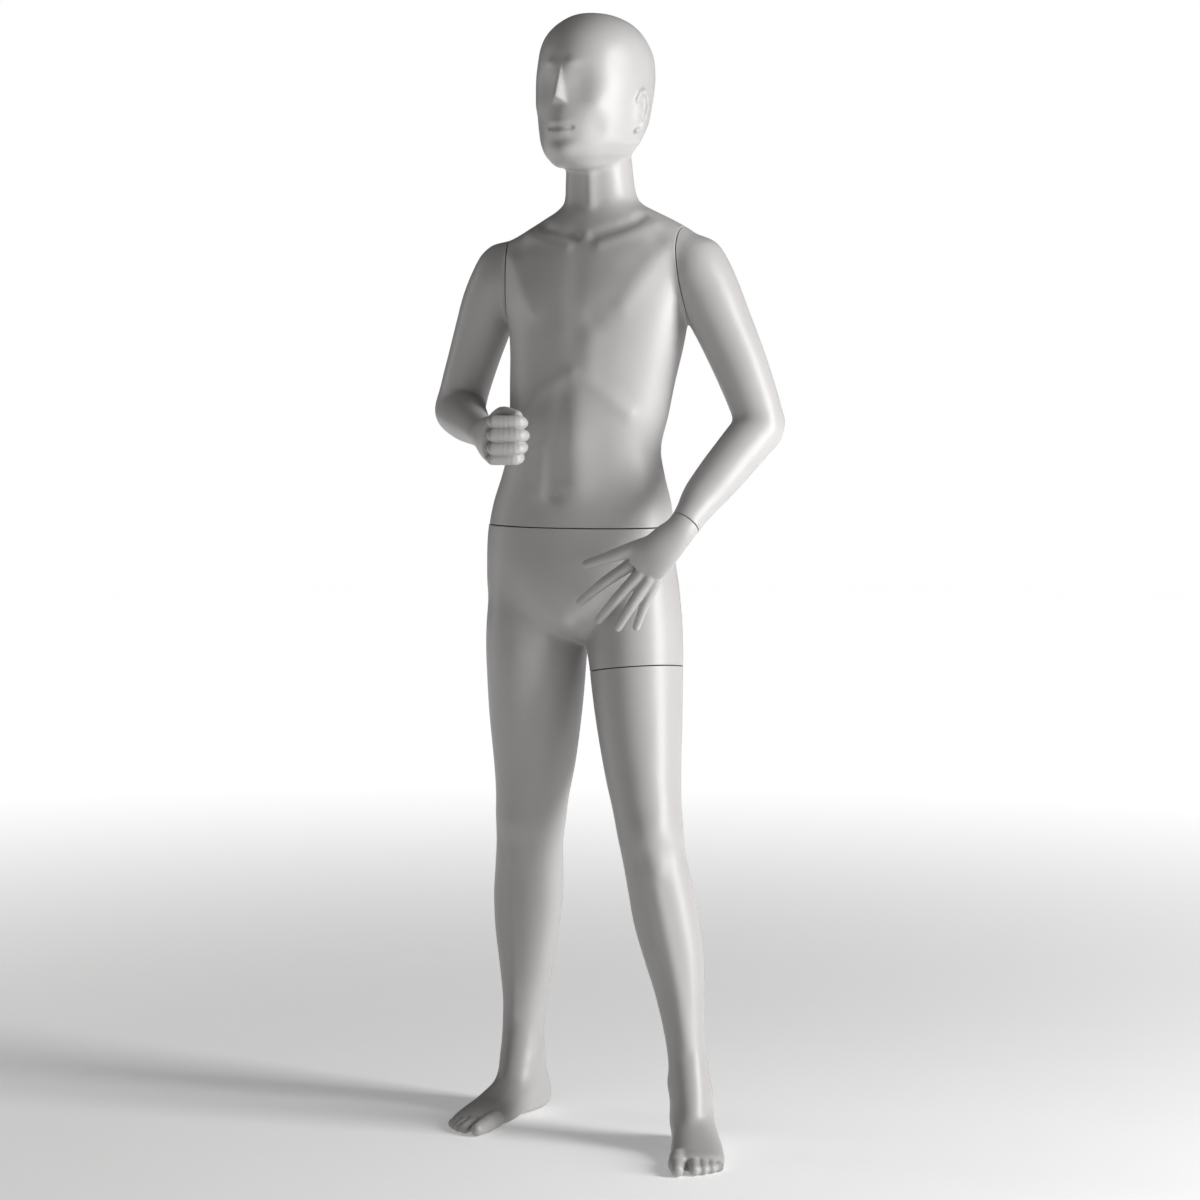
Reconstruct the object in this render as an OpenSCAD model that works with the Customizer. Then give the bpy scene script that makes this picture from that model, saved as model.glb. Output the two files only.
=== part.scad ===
// Full body child mannequin, free standing, in separate moulded shells.
// It comes apart at the waist, both shoulders, both wrists and the left thigh.
// Each seam holds a plug-in fitting: a socket with a turning hub on one side, a
// hexagonal peg on the other, and a magnet that keeps the peg home.
// The figure faces -Y, its own left hand is +X, and it stands on Z = 0.

/* [Figure] */
// Standing height of the figure
stature = 1396; // [1320:2:1460]
// Thickness of the limbs and trunk against the standard build
girth = 1; // [0.96:0.01:1.04]

/* [Shells] */
// Wall of the moulded shells
wall = 4; // [3:0.25:4.25]
// Gap at each seam between the two shells
seam_gap = 1.2; // [0.8:0.1:2]
// Thickness of the plates that close the shells at the seams
plate_t = 6; // [5:0.5:8]
// Adhesive gap between a closing plate and the shell around it
plate_slip = 0.8; // [0.6:0.1:1.5]

/* [Fittings] */
// Hexagon of the waist and thigh pegs, across flats
trunk_hex = 24; // [18:1:28]
// Hexagon of the shoulder pegs, across flats
shoulder_hex = 16; // [12:1:18]
// Hexagon of the wrist pegs, across flats
wrist_hex = 8; // [6:0.5:9]
// Length of the waist hub and of the thigh socket
trunk_grip = 34; // [24:1:40]
// Length of the shoulder hubs
shoulder_grip = 26; // [18:1:32]
// Length of the wrist hubs
wrist_grip = 14; // [10:1:18]
// Running clearance of hubs and pegs
run_gap = 0.08; // [0.04:0.01:0.1]
// End clearance of hubs and pegs
end_gap = 0.4; // [0.3:0.1:0.6]
// Thickness of the retaining rings
ring_t = 2; // [1.5:0.5:3]
// Thickness of the magnets
magnet_t = 3; // [2:0.5:5]

/* [Foot socket] */
// Bore of the socket tube in the right sole
foot_bore_d = 10; // [8:0.5:12]
// Depth of that bore
foot_bore_l = 48; // [36:2:54]
// Wall of the socket tube
foot_tube_wall = 2.5; // [1.5:0.5:4]

/* [Hidden] */
size = stature / 1396;
body_colour = [0.56, 0.56, 0.56];
plate_colour = [0.3, 0.3, 0.32];
steel = [0.72, 0.73, 0.75];
black = [0.13, 0.13, 0.14];
brass = [0.72, 0.6, 0.32];
bond_t = 0.3;
screw_head = 2;
screw_head_t = 1.2;
socket_floor = 2;

// How many sides the cavities have; the skins have twice as many.
trunk_sides = 18;
leg_sides = 12;
arm_sides = 10;
tube_slip = 0.25;

// A fitting is [hexagon, grip, hub wall, housing wall, flange width, flange
// thickness, screw radius, screw count].
trunk_fitting = [trunk_hex, trunk_grip, 4, 3, 11, 4, 2.5, 4];
shoulder_fitting = [shoulder_hex, shoulder_grip, 3, 2.5, 7.5, 3, 2, 4];
wrist_fitting = [wrist_hex, wrist_grip, 1.6, 1.5, 3.8, 2, 1, 3];

// A seam is [a point on it, the way its loose side lies, its upright, its reach
// across, its reach along the upright].
waist = [[-24, 54, 763], [0, 0, 1], [0, 1, 0], 200, 200];
left_shoulder = [[112, 62, 1080], [1, -0.075, 0.12], [0, 0, 1], 140, 95];
right_shoulder = [[-125, 62, 1068], [-1, -0.244, 0], [0, 0, 1], 140, 95];
left_thigh = [[51, 45, 585], [0.107, -0.13, -0.985], [0, 1, 0], 62, 85];
left_wrist = [[142, -38, 774], [-0.38, -0.6, -0.7], [0, 0, 1], 34, 34];
right_wrist = [[-106, -75, 880], [0.51, -0.845, -0.13], [0, 0, 1], 34, 34];

// Rows below are [x, y, z, side, front, back]: the centre of a cross-section and
// its half-widths to the side, to the front and to the back.
head_turn = -10;
left_leg_turn = 20;
right_leg_turn = -9;
left_hand_way = [-0.88, -0.2, 0.42];
right_hand_way = [0, 0, 1];

head_rows = [
    [-7, 56, 1394, 4, 5, 5],
    [-7, 56, 1392, 19, 21, 22],
    [-7, 55, 1384, 40, 43, 47],
    [-7, 54, 1369, 55, 65, 70],
    [-7, 53, 1348, 64, 80, 87],
    [-7, 53, 1322, 67, 87, 93],
    [-8, 53, 1295, 66, 89, 91],
    [-8, 53, 1270, 64, 88, 81],
    [-9, 53, 1250, 61, 87, 67],
    [-9, 53, 1232, 56, 85, 51],
    [-8, 53, 1217, 46, 79, 39],
    [-7, 53, 1207, 33, 67, 28],
    [-7, 53, 1202, 18, 50, 14]];

// The last number of a trunk row is how far its left side is raised.
trunk_rows = [
    [-7, 62, 1240, 36, 38, 40, 0],
    [-6, 63, 1215, 40, 41, 43, 0],
    [-6, 65, 1190, 42, 42, 45, 0.03],
    [-5, 66, 1168, 45, 43, 47, 0.065],
    [-5, 66, 1157, 54, 44, 49, 0.065],
    [-5, 65, 1146, 74, 46, 52, 0.065],
    [-5, 64, 1132, 100, 50, 56, 0.065],
    [-5, 63, 1118, 120, 55, 60, 0.065],
    [-6, 61, 1100, 130, 62, 64, 0.065],
    [-7, 60, 1078, 131, 68, 66, 0.06],
    [-7, 58, 1050, 124, 74, 70, 0.05],
    [-5, 57, 1015, 116, 78, 72, 0.04],
    [-7, 56, 980, 111, 78, 71, 0.02],
    [-12, 55, 940, 106, 76, 67, 0],
    [-16, 54, 900, 102, 74, 63, 0],
    [-21, 53, 860, 98, 73, 61, 0],
    [-23, 53, 825, 105, 73, 65, 0],
    [-25, 54, 790, 115, 76, 72, 0],
    [-27, 55, 755, 120, 79, 79, 0],
    [-28, 56, 715, 121, 81, 86, 0],
    [-27, 56, 680, 120, 78, 88, 0],
    [-26, 56, 655, 104, 70, 84, 0],
    [-26, 57, 637, 72, 56, 70, 0],
    [-25, 58, 624, 38, 34, 44, 0],
    [-25, 59, 618, 14, 14, 18, 0]];

left_leg_rows = [
    [40, 58, 742, 26, 28, 30],
    [42, 57, 724, 42, 46, 54],
    [44, 56, 695, 53, 60, 74],
    [46, 52, 655, 58, 66, 78],
    [48, 48, 618, 59, 67, 72],
    [51, 43, 583, 58, 66, 66],
    [58, 33, 525, 54, 61, 58],
    [67, 21, 465, 48, 54, 51],
    [76, 11, 420, 43, 49, 47],
    [83, 4, 388, 41, 46, 44],
    [89, 2, 355, 39, 42, 44],
    [97, 2, 318, 40, 39, 50],
    [104, 2, 282, 40, 37, 53],
    [114, 1, 240, 37, 34, 48],
    [123, -1, 195, 31, 31, 40],
    [130, -4, 150, 26, 29, 34],
    [135, -7, 115, 24, 28, 31],
    [139, -10, 85, 25, 33, 32],
    [141, -10, 60, 26, 41, 33],
    [141, -10, 35, 25, 46, 34],
    [141, -10, 16, 19, 28, 26]];

right_leg_rows = [
    [-88, 58, 742, 26, 28, 30],
    [-89, 58, 724, 42, 46, 54],
    [-89, 58, 695, 54, 60, 74],
    [-89, 58, 655, 59, 66, 78],
    [-89, 58, 618, 61, 67, 74],
    [-89, 60, 583, 61, 67, 68],
    [-92, 66, 525, 58, 62, 60],
    [-97, 76, 465, 52, 55, 52],
    [-103, 84, 420, 46, 51, 48],
    [-107, 89, 390, 44, 50, 46],
    [-111, 93, 355, 42, 44, 45],
    [-115, 98, 318, 43, 40, 51],
    [-119, 104, 282, 44, 38, 53],
    [-123, 110, 240, 41, 35, 49],
    [-126, 116, 195, 35, 31, 42],
    [-129, 120, 150, 28, 29, 37],
    [-131, 121, 115, 26, 29, 34],
    [-131, 119, 85, 26, 33, 35],
    [-130, 117, 60, 27, 41, 36],
    [-130, 116, 35, 26, 46, 37],
    [-130, 116, 16, 20, 28, 26]];

left_upper_arm_rows = [
    [108, 65, 1122, 8, 8, 8],
    [108, 65, 1117, 22, 24, 24],
    [111, 65, 1104, 33, 36, 36],
    [121, 65, 1082, 39, 42, 42],
    [137, 65, 1050, 39, 40, 40],
    [156, 66, 1010, 36, 37, 37],
    [174, 67, 970, 34, 34, 34],
    [188, 68, 935, 32, 32, 32],
    [199, 69, 905, 30, 30, 31],
    [206, 70, 888, 24, 26, 28],
    [209, 70, 879, 10, 12, 14]];

left_forearm_rows = [
    [214, 86, 908, 8, 8, 8],
    [211, 80, 901, 22, 21, 22],
    [204, 70, 890, 30, 29, 29],
    [194, 54, 873, 30, 30, 28],
    [181, 34, 851, 29, 29, 27],
    [167, 12, 827, 27.5, 26, 25],
    [154, -10, 804, 24.5, 22, 21],
    [147, -27, 786, 20.5, 19, 18],
    [142, -38, 774, 19, 17, 17],
    [136, -46, 764, 19.5, 15, 15],
    [126, -51, 753, 22, 14, 13],
    [113, -53, 739, 24, 13, 12],
    [100, -51, 725, 24, 11, 10],
    [91, -48, 715, 21, 8, 7]];

right_upper_arm_rows = [
    [-126, 65, 1110, 8, 8, 8],
    [-127, 65, 1104, 22, 24, 24],
    [-130, 65, 1090, 32, 36, 36],
    [-138, 65, 1068, 36, 42, 42],
    [-152, 67, 1038, 36, 40, 40],
    [-165, 70, 1005, 34, 37, 37],
    [-178, 73, 970, 32, 34, 34],
    [-190, 77, 937, 31, 32, 32],
    [-198, 80, 912, 30, 30, 30],
    [-202, 81, 893, 25, 26, 27],
    [-203, 82, 882, 10, 12, 12]];

right_forearm_rows = [
    [-214, 106, 905, 8, 8, 8],
    [-211, 99, 905, 22, 22, 22],
    [-203, 85, 904, 30, 30, 29],
    [-193, 68, 901, 31, 31, 29],
    [-179, 45, 897, 30, 29, 28],
    [-161, 15, 892, 27, 26, 25],
    [-140, -19, 887, 23, 21, 21],
    [-122, -48, 883, 20, 18, 18],
    [-106, -75, 880, 19, 17, 16],
    [-99, -86, 879, 21, 16, 15],
    [-88, -103, 876, 27, 15, 14],
    [-78, -118, 874, 29, 12, 12]];

// The sole is on Z = 0, the heel at the origin and the toes towards -Y.
foot_rows = [
    [0, 8, 20, 8, 12, 10],
    [0, 5, 19, 17, 23, 17],
    [0, -7, 18, 23, 38, 19],
    [0, -28, 16, 26, 45, 17],
    [1, -55, 14, 28, 45, 14],
    [2, -80, 12, 30, 35, 11],
    [3, -105, 10, 32, 26, 11],
    [4, -128, 9, 32, 20, 10],
    [4, -145, 8, 32, 16, 9],
    [3, -160, 8, 29, 13, 9],
    [3, -167, 8, 25, 10, 8]];

// A finger, thumb or toe is a chain of [point, radius].
foot_toes = [
    [[[-20, -146, 12], 11], [[-22, -170, 10.5], 10.5], [[-22, -192, 8], 8]],
    [[[-2, -150, 11], 9], [[-1, -187, 7], 7]],
    [[[10, -150, 10], 8.5], [[10, -183, 6.5], 6.5]],
    [[[20, -146, 9], 8], [[20, -176, 6.2], 6.2]],
    [[[29, -140, 9], 7.5], [[28, -168, 6], 6]]];
left_fingers = [
    [[[73, -47, 721], 8], [[37, -46, 697], 6.5], [[6, -36, 674], 5]],
    [[[87, -49, 711], 8], [[57, -47, 680], 6.5], [[30, -36, 653], 5]],
    [[[98, -47, 705], 7.5], [[74, -44, 671], 6.3], [[54, -34, 644], 5]],
    [[[106, -42, 704], 7], [[89, -38, 671], 5.6], [[76, -29, 645], 4.6]],
    [[[110, -48, 752], 10], [[82, -52, 743], 9], [[52, -53, 732], 7.5], [[17, -45, 721], 5.5]]];
right_fingers = [
    [[[-74, -121, 896], 8], [[-46, -113, 896], 7.6], [[-48, -93, 894], 7]],
    [[[-74, -123, 880], 8], [[-44, -115, 880], 7.8], [[-46, -93, 879], 7]],
    [[[-75, -122, 864], 7.6], [[-46, -114, 864], 7.3], [[-48, -93, 865], 7]],
    [[[-77, -118, 851], 7], [[-50, -111, 851], 6.6], [[-52, -93, 853], 6.5]],
    [[[-96, -78, 888], 10], [[-74, -95, 905], 8.5], [[-50, -107, 903], 7]]];
left_heel = [128, 32, 0];
right_heel = [-122, 151, 0];

function unit(v) = v / norm(v);
function signed_power(x, p) = sign(x) * pow(abs(x), p);
function side_of(turn) = [cos(turn), sin(turn), 0];

// A smooth curve through a list of rows, s counting rows from 0.
function blend4(a, b, c, d, t) =
    0.5 * (2 * b + (c - a) * t + (2 * a - 5 * b + 4 * c - d) * t * t
    + (3 * b - a - 3 * c + d) * t * t * t);
function row_at(rows, s) =
    let (last = len(rows) - 1, i = min(floor(s), last - 1))
    blend4(rows[max(i - 1, 0)], rows[i], rows[i + 1], rows[min(i + 2, last)], s - i);
function centre(row) = [row[0], row[1], row[2]];

// One cross-section across the way the rows run, its side half-width along side_way.
function ring(rows, s, side_way, sides, inset, power) =
    let (row = row_at(rows, s), last = len(rows) - 1,
         ahead = centre(row_at(rows, min(s + 0.05, last))),
         behind = centre(row_at(rows, max(s - 0.05, 0))),
         way = len(row) > 6 ? unit([row[6], 0, -1]) : unit(ahead - behind),
         u = unit(side_way - (side_way * way) * way),
         v = cross(way, u))
    [for (k = [0 : sides - 1])
        let (x = cos(360 * k / sides), y = sin(360 * k / sides),
             width = size * girth * row[3] - inset,
             depth = size * girth * (y > 0 ? row[4] : row[5]) - inset)
        size * centre(row) + u * width * signed_power(x, power)
        + v * depth * signed_power(y, power)];

// A closed solid through the rows, from row first to row last, steps rings a row.
module loft(rows, side_way, sides, steps, inset = 0, first = 0, last = -1, power = 1) {
    end = last < 0 ? len(rows) - 1 : last;
    count = round((end - first) * steps);
    rings = [for (i = [0 : count])
        ring(rows, first + (end - first) * i / count, side_way, sides, inset, power)];
    points = [for (r = rings) each r];
    walls = [for (i = [0 : count - 1], k = [0 : sides - 1])
        let (a = i * sides + k, b = i * sides + (k + 1) % sides)
        each [[a, a + sides, b + sides], [a, b + sides, b]]];
    caps = [[for (k = [0 : sides - 1]) k],
        [for (k = [sides - 1 : -1 : 0]) count * sides + k]];
    polyhedron(points = points, faces = concat(walls, caps), convexity = 6);
}

module blob(p, r, sides = 12) {
    translate(size * p)
        sphere(r = size * r, $fn = sides);
}

// Rounded chains for fingers and toes.
module chain(links) {
    for (i = [0 : len(links) - 2])
        hull() {
            blob(links[i][0], links[i][1]);
            blob(links[i + 1][0], links[i + 1][1]);
        }
}

// Children are drawn with Z along the seam's way and the origin on the seam.
module on_seam(seam) {
    z = unit(seam[1]);
    x = unit(cross(seam[2], z));
    y = cross(z, x);
    p = size * seam[0];
    multmatrix([
        [x[0], y[0], z[0], p[0]],
        [x[1], y[1], z[1], p[1]],
        [x[2], y[2], z[2], p[2]],
        [0, 0, 0, 1]]) children();
}

// All that lies past the seam, or before it, within its reach.
module past(seam) {
    deep = 500 * size;
    on_seam(seam)
        translate([-seam[3] * size, -seam[4] * size, -seam_gap / 2])
            cube([2 * seam[3] * size, 2 * seam[4] * size, deep]);
}
module before(seam) {
    deep = 500 * size;
    on_seam(seam)
        translate([-seam[3] * size, -seam[4] * size, seam_gap / 2 - deep])
            cube([2 * seam[3] * size, 2 * seam[4] * size, deep]);
}

// A slice of a seam's own thickness of plate, on its fixed side or its loose side.
module slab(seam, loose) {
    start = loose ? seam_gap / 2 : -seam_gap / 2 - plate_t;
    on_seam(seam)
        translate([-seam[3] * size, -seam[4] * size, start])
            cube([2 * seam[3] * size, 2 * seam[4] * size, plate_t]);
}

// Keeps a moulded shell as one smooth skin.
module skin() {
    resize([0, 0, 0]) children();
}

// ---- body forms; inset = 0 is the outside, inset = wall is the cavity ----

module face() {
    rotate_head = side_of(head_turn);
    ahead = [rotate_head[1], -rotate_head[0], 0];
    axis = [-7, 53, 0];
    hull() {
        blob(axis + 80 * ahead + [0, 0, 1314], 6);
        blob(axis + 88 * ahead + [0, 0, 1291], 7);
        blob(axis + 82 * ahead + 7 * rotate_head + [0, 0, 1289], 6);
        blob(axis + 82 * ahead - 7 * rotate_head + [0, 0, 1289], 6);
    }
    for (end = [-1, 1])
        hull() {
            blob(axis + end * 64 * rotate_head + [0, 0, 1264], 6);
            blob(axis + end * 66 * rotate_head - 6 * ahead + [0, 0, 1292], 7);
            blob(axis + end * 64 * rotate_head + 5 * ahead + [0, 0, 1292], 6);
        }
}
module head_form(inset = 0) {
    fine = inset == 0;
    loft(head_rows, side_of(head_turn), fine ? 32 : 16, fine ? 2 : 1, inset,
        fine ? 0 : 2.5, fine ? 12 : 10.5);
}
module trunk_form(inset = 0) {
    fine = inset == 0;
    loft(trunk_rows, [1, 0, 0], fine ? 2 * trunk_sides : trunk_sides, fine ? 2 : 1, inset, 0,
        fine ? 24 : 22);
}
// The part of the trunk that runs out under the arms.
module shoulder_form(inset = 0) {
    fine = inset == 0;
    loft(trunk_rows, [1, 0, 0], fine ? 2 * trunk_sides : trunk_sides, fine ? 2 : 1, inset, 5, 11);
}
module leg_form(rows, turn, inset = 0, first = 0, last = 20) {
    fine = inset == 0;
    loft(rows, side_of(turn), fine ? 2 * leg_sides : leg_sides, fine ? 1.5 : 1, inset, first,
        last);
}
module upper_arm_form(rows, inset = 0, last = 10) {
    fine = inset == 0;
    loft(rows, [1, 0, 0], fine ? 2 * arm_sides : arm_sides, fine ? 1.5 : 1, inset, fine ? 0 : 2,
        fine ? last : min(last, 8));
}
module forearm_form(rows, way, inset = 0, first = 0, last = 9) {
    fine = inset == 0;
    loft(rows, way, fine ? 2 * arm_sides : arm_sides, fine ? 1.5 : 1, inset, fine ? first : 2,
        last);
}
module foot_form() {
    intersection() {
        union() {
            loft(foot_rows, [1, 0, 0], 20, 1, power = 0.85);
            for (toe = foot_toes)
                chain(toe);
        }
        translate([-80, -260, 0])
            cube([160, 320, 200]);
    }
}
module left_foot() {
    translate(size * left_heel)
        rotate(left_leg_turn)
            foot_form();
}
module right_foot() {
    translate(size * right_heel)
        rotate(right_leg_turn)
            mirror([1, 0, 0])
                foot_form();
}

module upper_body_form(inset = 0) {
    head_form(inset);
    trunk_form(inset);
    upper_arm_form(left_upper_arm_rows, inset, 5);
    upper_arm_form(right_upper_arm_rows, inset, 5);
}
module lower_body_form(inset = 0) {
    trunk_form(inset);
    leg_form(left_leg_rows, left_leg_turn, inset, 0, 6);
    leg_form(right_leg_rows, right_leg_turn, inset, 0, inset == 0 ? 20 : 17);
}
module left_leg_form(inset = 0) {
    leg_form(left_leg_rows, left_leg_turn, inset, 3, inset == 0 ? 20 : 17);
}
module left_arm_form(inset = 0) {
    shoulder_form(inset);
    upper_arm_form(left_upper_arm_rows, inset);
    forearm_form(left_forearm_rows, left_hand_way, inset);
}
module right_arm_form(inset = 0) {
    shoulder_form(inset);
    upper_arm_form(right_upper_arm_rows, inset);
    forearm_form(right_forearm_rows, right_hand_way, inset);
}

// ---- moulded shells ----

module upper_body_shell() {
    color(body_colour) skin() difference() {
        union() {
            upper_body_form();
            face();
        }
        upper_body_form(wall);
        before(waist);
        past(left_shoulder);
        past(right_shoulder);
    }
}
module lower_body_shell() {
    color(body_colour) skin() difference() {
        union() {
            lower_body_form();
            right_foot();
        }
        lower_body_form(wall);
        past(waist);
        past(left_thigh);
        foot_socket_hole();
    }
}
module left_leg_shell() {
    color(body_colour) skin() difference() {
        union() {
            left_leg_form();
            left_foot();
        }
        left_leg_form(wall);
        before(left_thigh);
    }
}
module left_arm_shell() {
    color(body_colour) skin() difference() {
        left_arm_form();
        left_arm_form(wall);
        before(left_shoulder);
        past(left_wrist);
    }
}
module right_arm_shell() {
    color(body_colour) skin() difference() {
        right_arm_form();
        right_arm_form(wall);
        before(right_shoulder);
        past(right_wrist);
    }
}
module left_hand() {
    color(body_colour) skin() difference() {
        union() {
            forearm_form(left_forearm_rows, left_hand_way, 0, 6, 13);
            for (finger = left_fingers)
                chain(finger);
        }
        before(left_wrist);
        hand_pocket(left_wrist);
    }
}
module right_hand() {
    color(body_colour) skin() difference() {
        union() {
            forearm_form(right_forearm_rows, right_hand_way, 0, 6, 11);
            for (finger = right_fingers)
                chain(finger);
        }
        before(right_wrist);
        hand_pocket(right_wrist);
    }
}

// ---- fittings, drawn along their seam's Z: the socket is below, the peg above ----

function corner(f) = f[0] / sqrt(3);
function hub_r(f) = corner(f) + f[2];
function bore_r(f) = hub_r(f) + run_gap;
function housing_r(f) = bore_r(f) + f[3];
function flange_r(f) = housing_r(f) + f[4];
function screw_ring(f) = housing_r(f) + f[4] / 2;
function peg_hole_r(f) = corner(f) + 1;
function back_z() = -seam_gap / 2 - plate_t;
function hub_top(f) = back_z() - ring_t - end_gap;
function floor_z(f) = hub_top(f) - f[1] - end_gap;
function magnet_r(f) = f[0] / 2;

module hexagon(f, gap, length) {
    cylinder(r = corner(f) + gap * 2 / sqrt(3), h = length, $fn = 6);
}
module around(f) {
    for (i = [0 : f[7] - 1])
        rotate(360 * (i + 0.5) / f[7])
            translate([screw_ring(f), 0, 0])
                children();
}

// A housing with a flange behind the plate; its child is the hole down its middle.
module housing(f) {
    base = floor_z(f) - magnet_t - socket_floor;
    difference() {
        union() {
            translate([0, 0, base])
                cylinder(r = housing_r(f), h = back_z() - base, $fn = 64);
            translate([0, 0, back_z() - f[5]])
                cylinder(r = flange_r(f), h = f[5], $fn = 64);
        }
        children();
        translate([0, 0, floor_z(f) - magnet_t])
            cylinder(r = magnet_r(f), h = magnet_t + 1, $fn = 48);
        around(f)
            translate([0, 0, back_z() - f[5] - 1])
                cylinder(r = f[6], h = f[5] + 2, $fn = 24);
    }
}
module socket(f) {
    housing(f)
        translate([0, 0, floor_z(f)])
            cylinder(r = bore_r(f), h = back_z() - floor_z(f) + 1, $fn = 64);
}
// The thigh socket has its hexagon cut straight into the housing, so it can't turn.
module fixed_socket(f) {
    housing(f)
        translate([0, 0, floor_z(f)])
            hexagon(f, run_gap, back_z() - floor_z(f) + 1);
}
module hub(f) {
    difference() {
        translate([0, 0, hub_top(f) - f[1]])
            cylinder(r = hub_r(f), h = f[1], $fn = 64);
        translate([0, 0, hub_top(f) - f[1] - 1])
            hexagon(f, run_gap, f[1] + 2);
    }
}
module keeper(f) {
    difference() {
        translate([0, 0, back_z() - ring_t])
            cylinder(r = bore_r(f), h = ring_t, $fn = 64);
        translate([0, 0, back_z() - ring_t - 1])
            cylinder(r = peg_hole_r(f), h = ring_t + 2, $fn = 48);
    }
}
module magnet(f) {
    translate([0, 0, floor_z(f) - magnet_t])
        cylinder(r = magnet_r(f), h = magnet_t, $fn = 48);
}
// The peg's flange lies against the far face of the loose side's plate.
module peg(f, plate, screwed = true) {
    top = seam_gap / 2 + plate;
    difference() {
        union() {
            translate([0, 0, floor_z(f) + end_gap])
                hexagon(f, 0, top - floor_z(f) - end_gap + f[5] / 2);
            translate([0, 0, top])
                cylinder(r = flange_r(f), h = f[5], $fn = 64);
        }
        if (screwed)
            around(f)
                translate([0, 0, top - 1])
                    cylinder(r = f[6], h = f[5] + 2, $fn = 24);
    }
}
// A pan-head screw with its head down in the plate's face, pointing to -Z.
module screw(f, plate) {
    head_h = screw_head_t * f[6];
    sink = seam_gap / 2 + 0.4;
    long = plate - 0.4 + f[5];
    translate([0, 0, -sink - head_h])
        cylinder(r = screw_head * f[6], h = head_h, $fn = 24);
    translate([0, 0, -sink - long])
        cylinder(r = f[6], h = long - head_h, $fn = 24);
}
module socket_screws(f) {
    around(f)
        screw(f, plate_t);
}
module peg_screws(f) {
    mirror([0, 0, 1])
        around(f)
            screw(f, plate_t);
}
// What a closing plate has cut away: the peg's hole and the screw holes.
module plate_holes(f) {
    head_h = screw_head_t * f[6];
    translate([0, 0, -50])
        cylinder(r = peg_hole_r(f), h = 100, $fn = 32);
    around(f) {
        translate([0, 0, -50])
            cylinder(r = f[6] + 0.2, h = 100, $fn = 16);
        for (flip = [0, 1])
            mirror([0, 0, flip])
                translate([0, 0, -seam_gap / 2 - 0.4 - head_h])
                    cylinder(r = screw_head * f[6] + 0.2, h = head_h + seam_gap / 2, $fn = 16);
    }
}
module hand_pocket(seam) {
    on_seam(seam)
        cylinder(r = flange_r(wrist_fitting) + bond_t,
            h = seam_gap / 2 + wrist_fitting[5] + bond_t, $fn = 32);
}
module foot_socket_hole() {
    translate([size * right_leg_rows[19][0], size * right_leg_rows[19][1], -1])
        cylinder(r = foot_bore_d / 2 + foot_tube_wall + tube_slip,
            h = foot_bore_l + foot_tube_wall + 1.5, $fn = 32);
}

// ---- closing plates ----

// The outline of a limb's cavity on a seam, at row s of the limb's rows. It has the
// cavity's own number of sides, straight from row to row as the cavity is.
function outline(seam, rows, s, side_way, sides) =
    let (z = unit(seam[1]), x = unit(cross(seam[2], z)), y = cross(z, x),
         i = floor(s), t = s - i,
         above = ring(rows, i, side_way, sides, wall + plate_slip, 1),
         below = ring(rows, i + 1, side_way, sides, wall + plate_slip, 1))
    [for (k = [0 : sides - 1])
        let (q = above[k] * (1 - t) + below[k] * t - size * seam[0]) [q * x, q * y]];

module plate(seam, f, rows, s, side_way, sides, loose) {
    color(plate_colour)
        on_seam(seam)
            difference() {
                translate([0, 0, loose ? seam_gap / 2 : -seam_gap / 2 - plate_t])
                    linear_extrude(plate_t)
                        polygon(outline(seam, rows, s, side_way, sides));
                plate_holes(f);
            }
}
module shoulder_plate(seam, loose) {
    color(plate_colour) skin() difference() {
        intersection() {
            children();
            slab(seam, loose);
        }
        on_seam(seam)
            plate_holes(shoulder_fitting);
    }
}

module torso_base_plate() {
    plate(waist, trunk_fitting, trunk_rows, 17.55, [1, 0, 0], trunk_sides, true);
}
module pelvis_top_plate() {
    plate(waist, trunk_fitting, trunk_rows, 17.75, [1, 0, 0], trunk_sides, false);
}
module pelvis_thigh_plate() {
    plate(left_thigh, trunk_fitting, left_leg_rows, 4.95, side_of(left_leg_turn), leg_sides,
        false);
}
module left_leg_top_plate() {
    plate(left_thigh, trunk_fitting, left_leg_rows, 5.15, side_of(left_leg_turn), leg_sides,
        true);
}
module left_arm_wrist_plate() {
    plate(left_wrist, wrist_fitting, left_forearm_rows, 7.98, left_hand_way, arm_sides, false);
}
module right_arm_wrist_plate() {
    plate(right_wrist, wrist_fitting, right_forearm_rows, 7.98, right_hand_way, arm_sides,
        false);
}
module torso_left_shoulder_plate() {
    shoulder_plate(left_shoulder, false) upper_body_form(wall + plate_slip);
}
module torso_right_shoulder_plate() {
    shoulder_plate(right_shoulder, false) upper_body_form(wall + plate_slip);
}
module left_arm_top_plate() {
    shoulder_plate(left_shoulder, true) left_arm_form(wall + plate_slip);
}
module right_arm_top_plate() {
    shoulder_plate(right_shoulder, true) right_arm_form(wall + plate_slip);
}

// ---- the fittings in place ----

module waist_socket() { color(black) on_seam(waist) socket(trunk_fitting); }
module left_shoulder_socket() { color(black) on_seam(left_shoulder) socket(shoulder_fitting); }
module right_shoulder_socket() { color(black) on_seam(right_shoulder) socket(shoulder_fitting); }
module left_wrist_socket() { color(black) on_seam(left_wrist) socket(wrist_fitting); }
module right_wrist_socket() { color(black) on_seam(right_wrist) socket(wrist_fitting); }
module thigh_socket() { color(black) on_seam(left_thigh) fixed_socket(trunk_fitting); }

module waist_hub() { color(steel) on_seam(waist) hub(trunk_fitting); }
module left_shoulder_hub() { color(steel) on_seam(left_shoulder) hub(shoulder_fitting); }
module right_shoulder_hub() { color(steel) on_seam(right_shoulder) hub(shoulder_fitting); }
module left_wrist_hub() { color(steel) on_seam(left_wrist) hub(wrist_fitting); }
module right_wrist_hub() { color(steel) on_seam(right_wrist) hub(wrist_fitting); }

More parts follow.
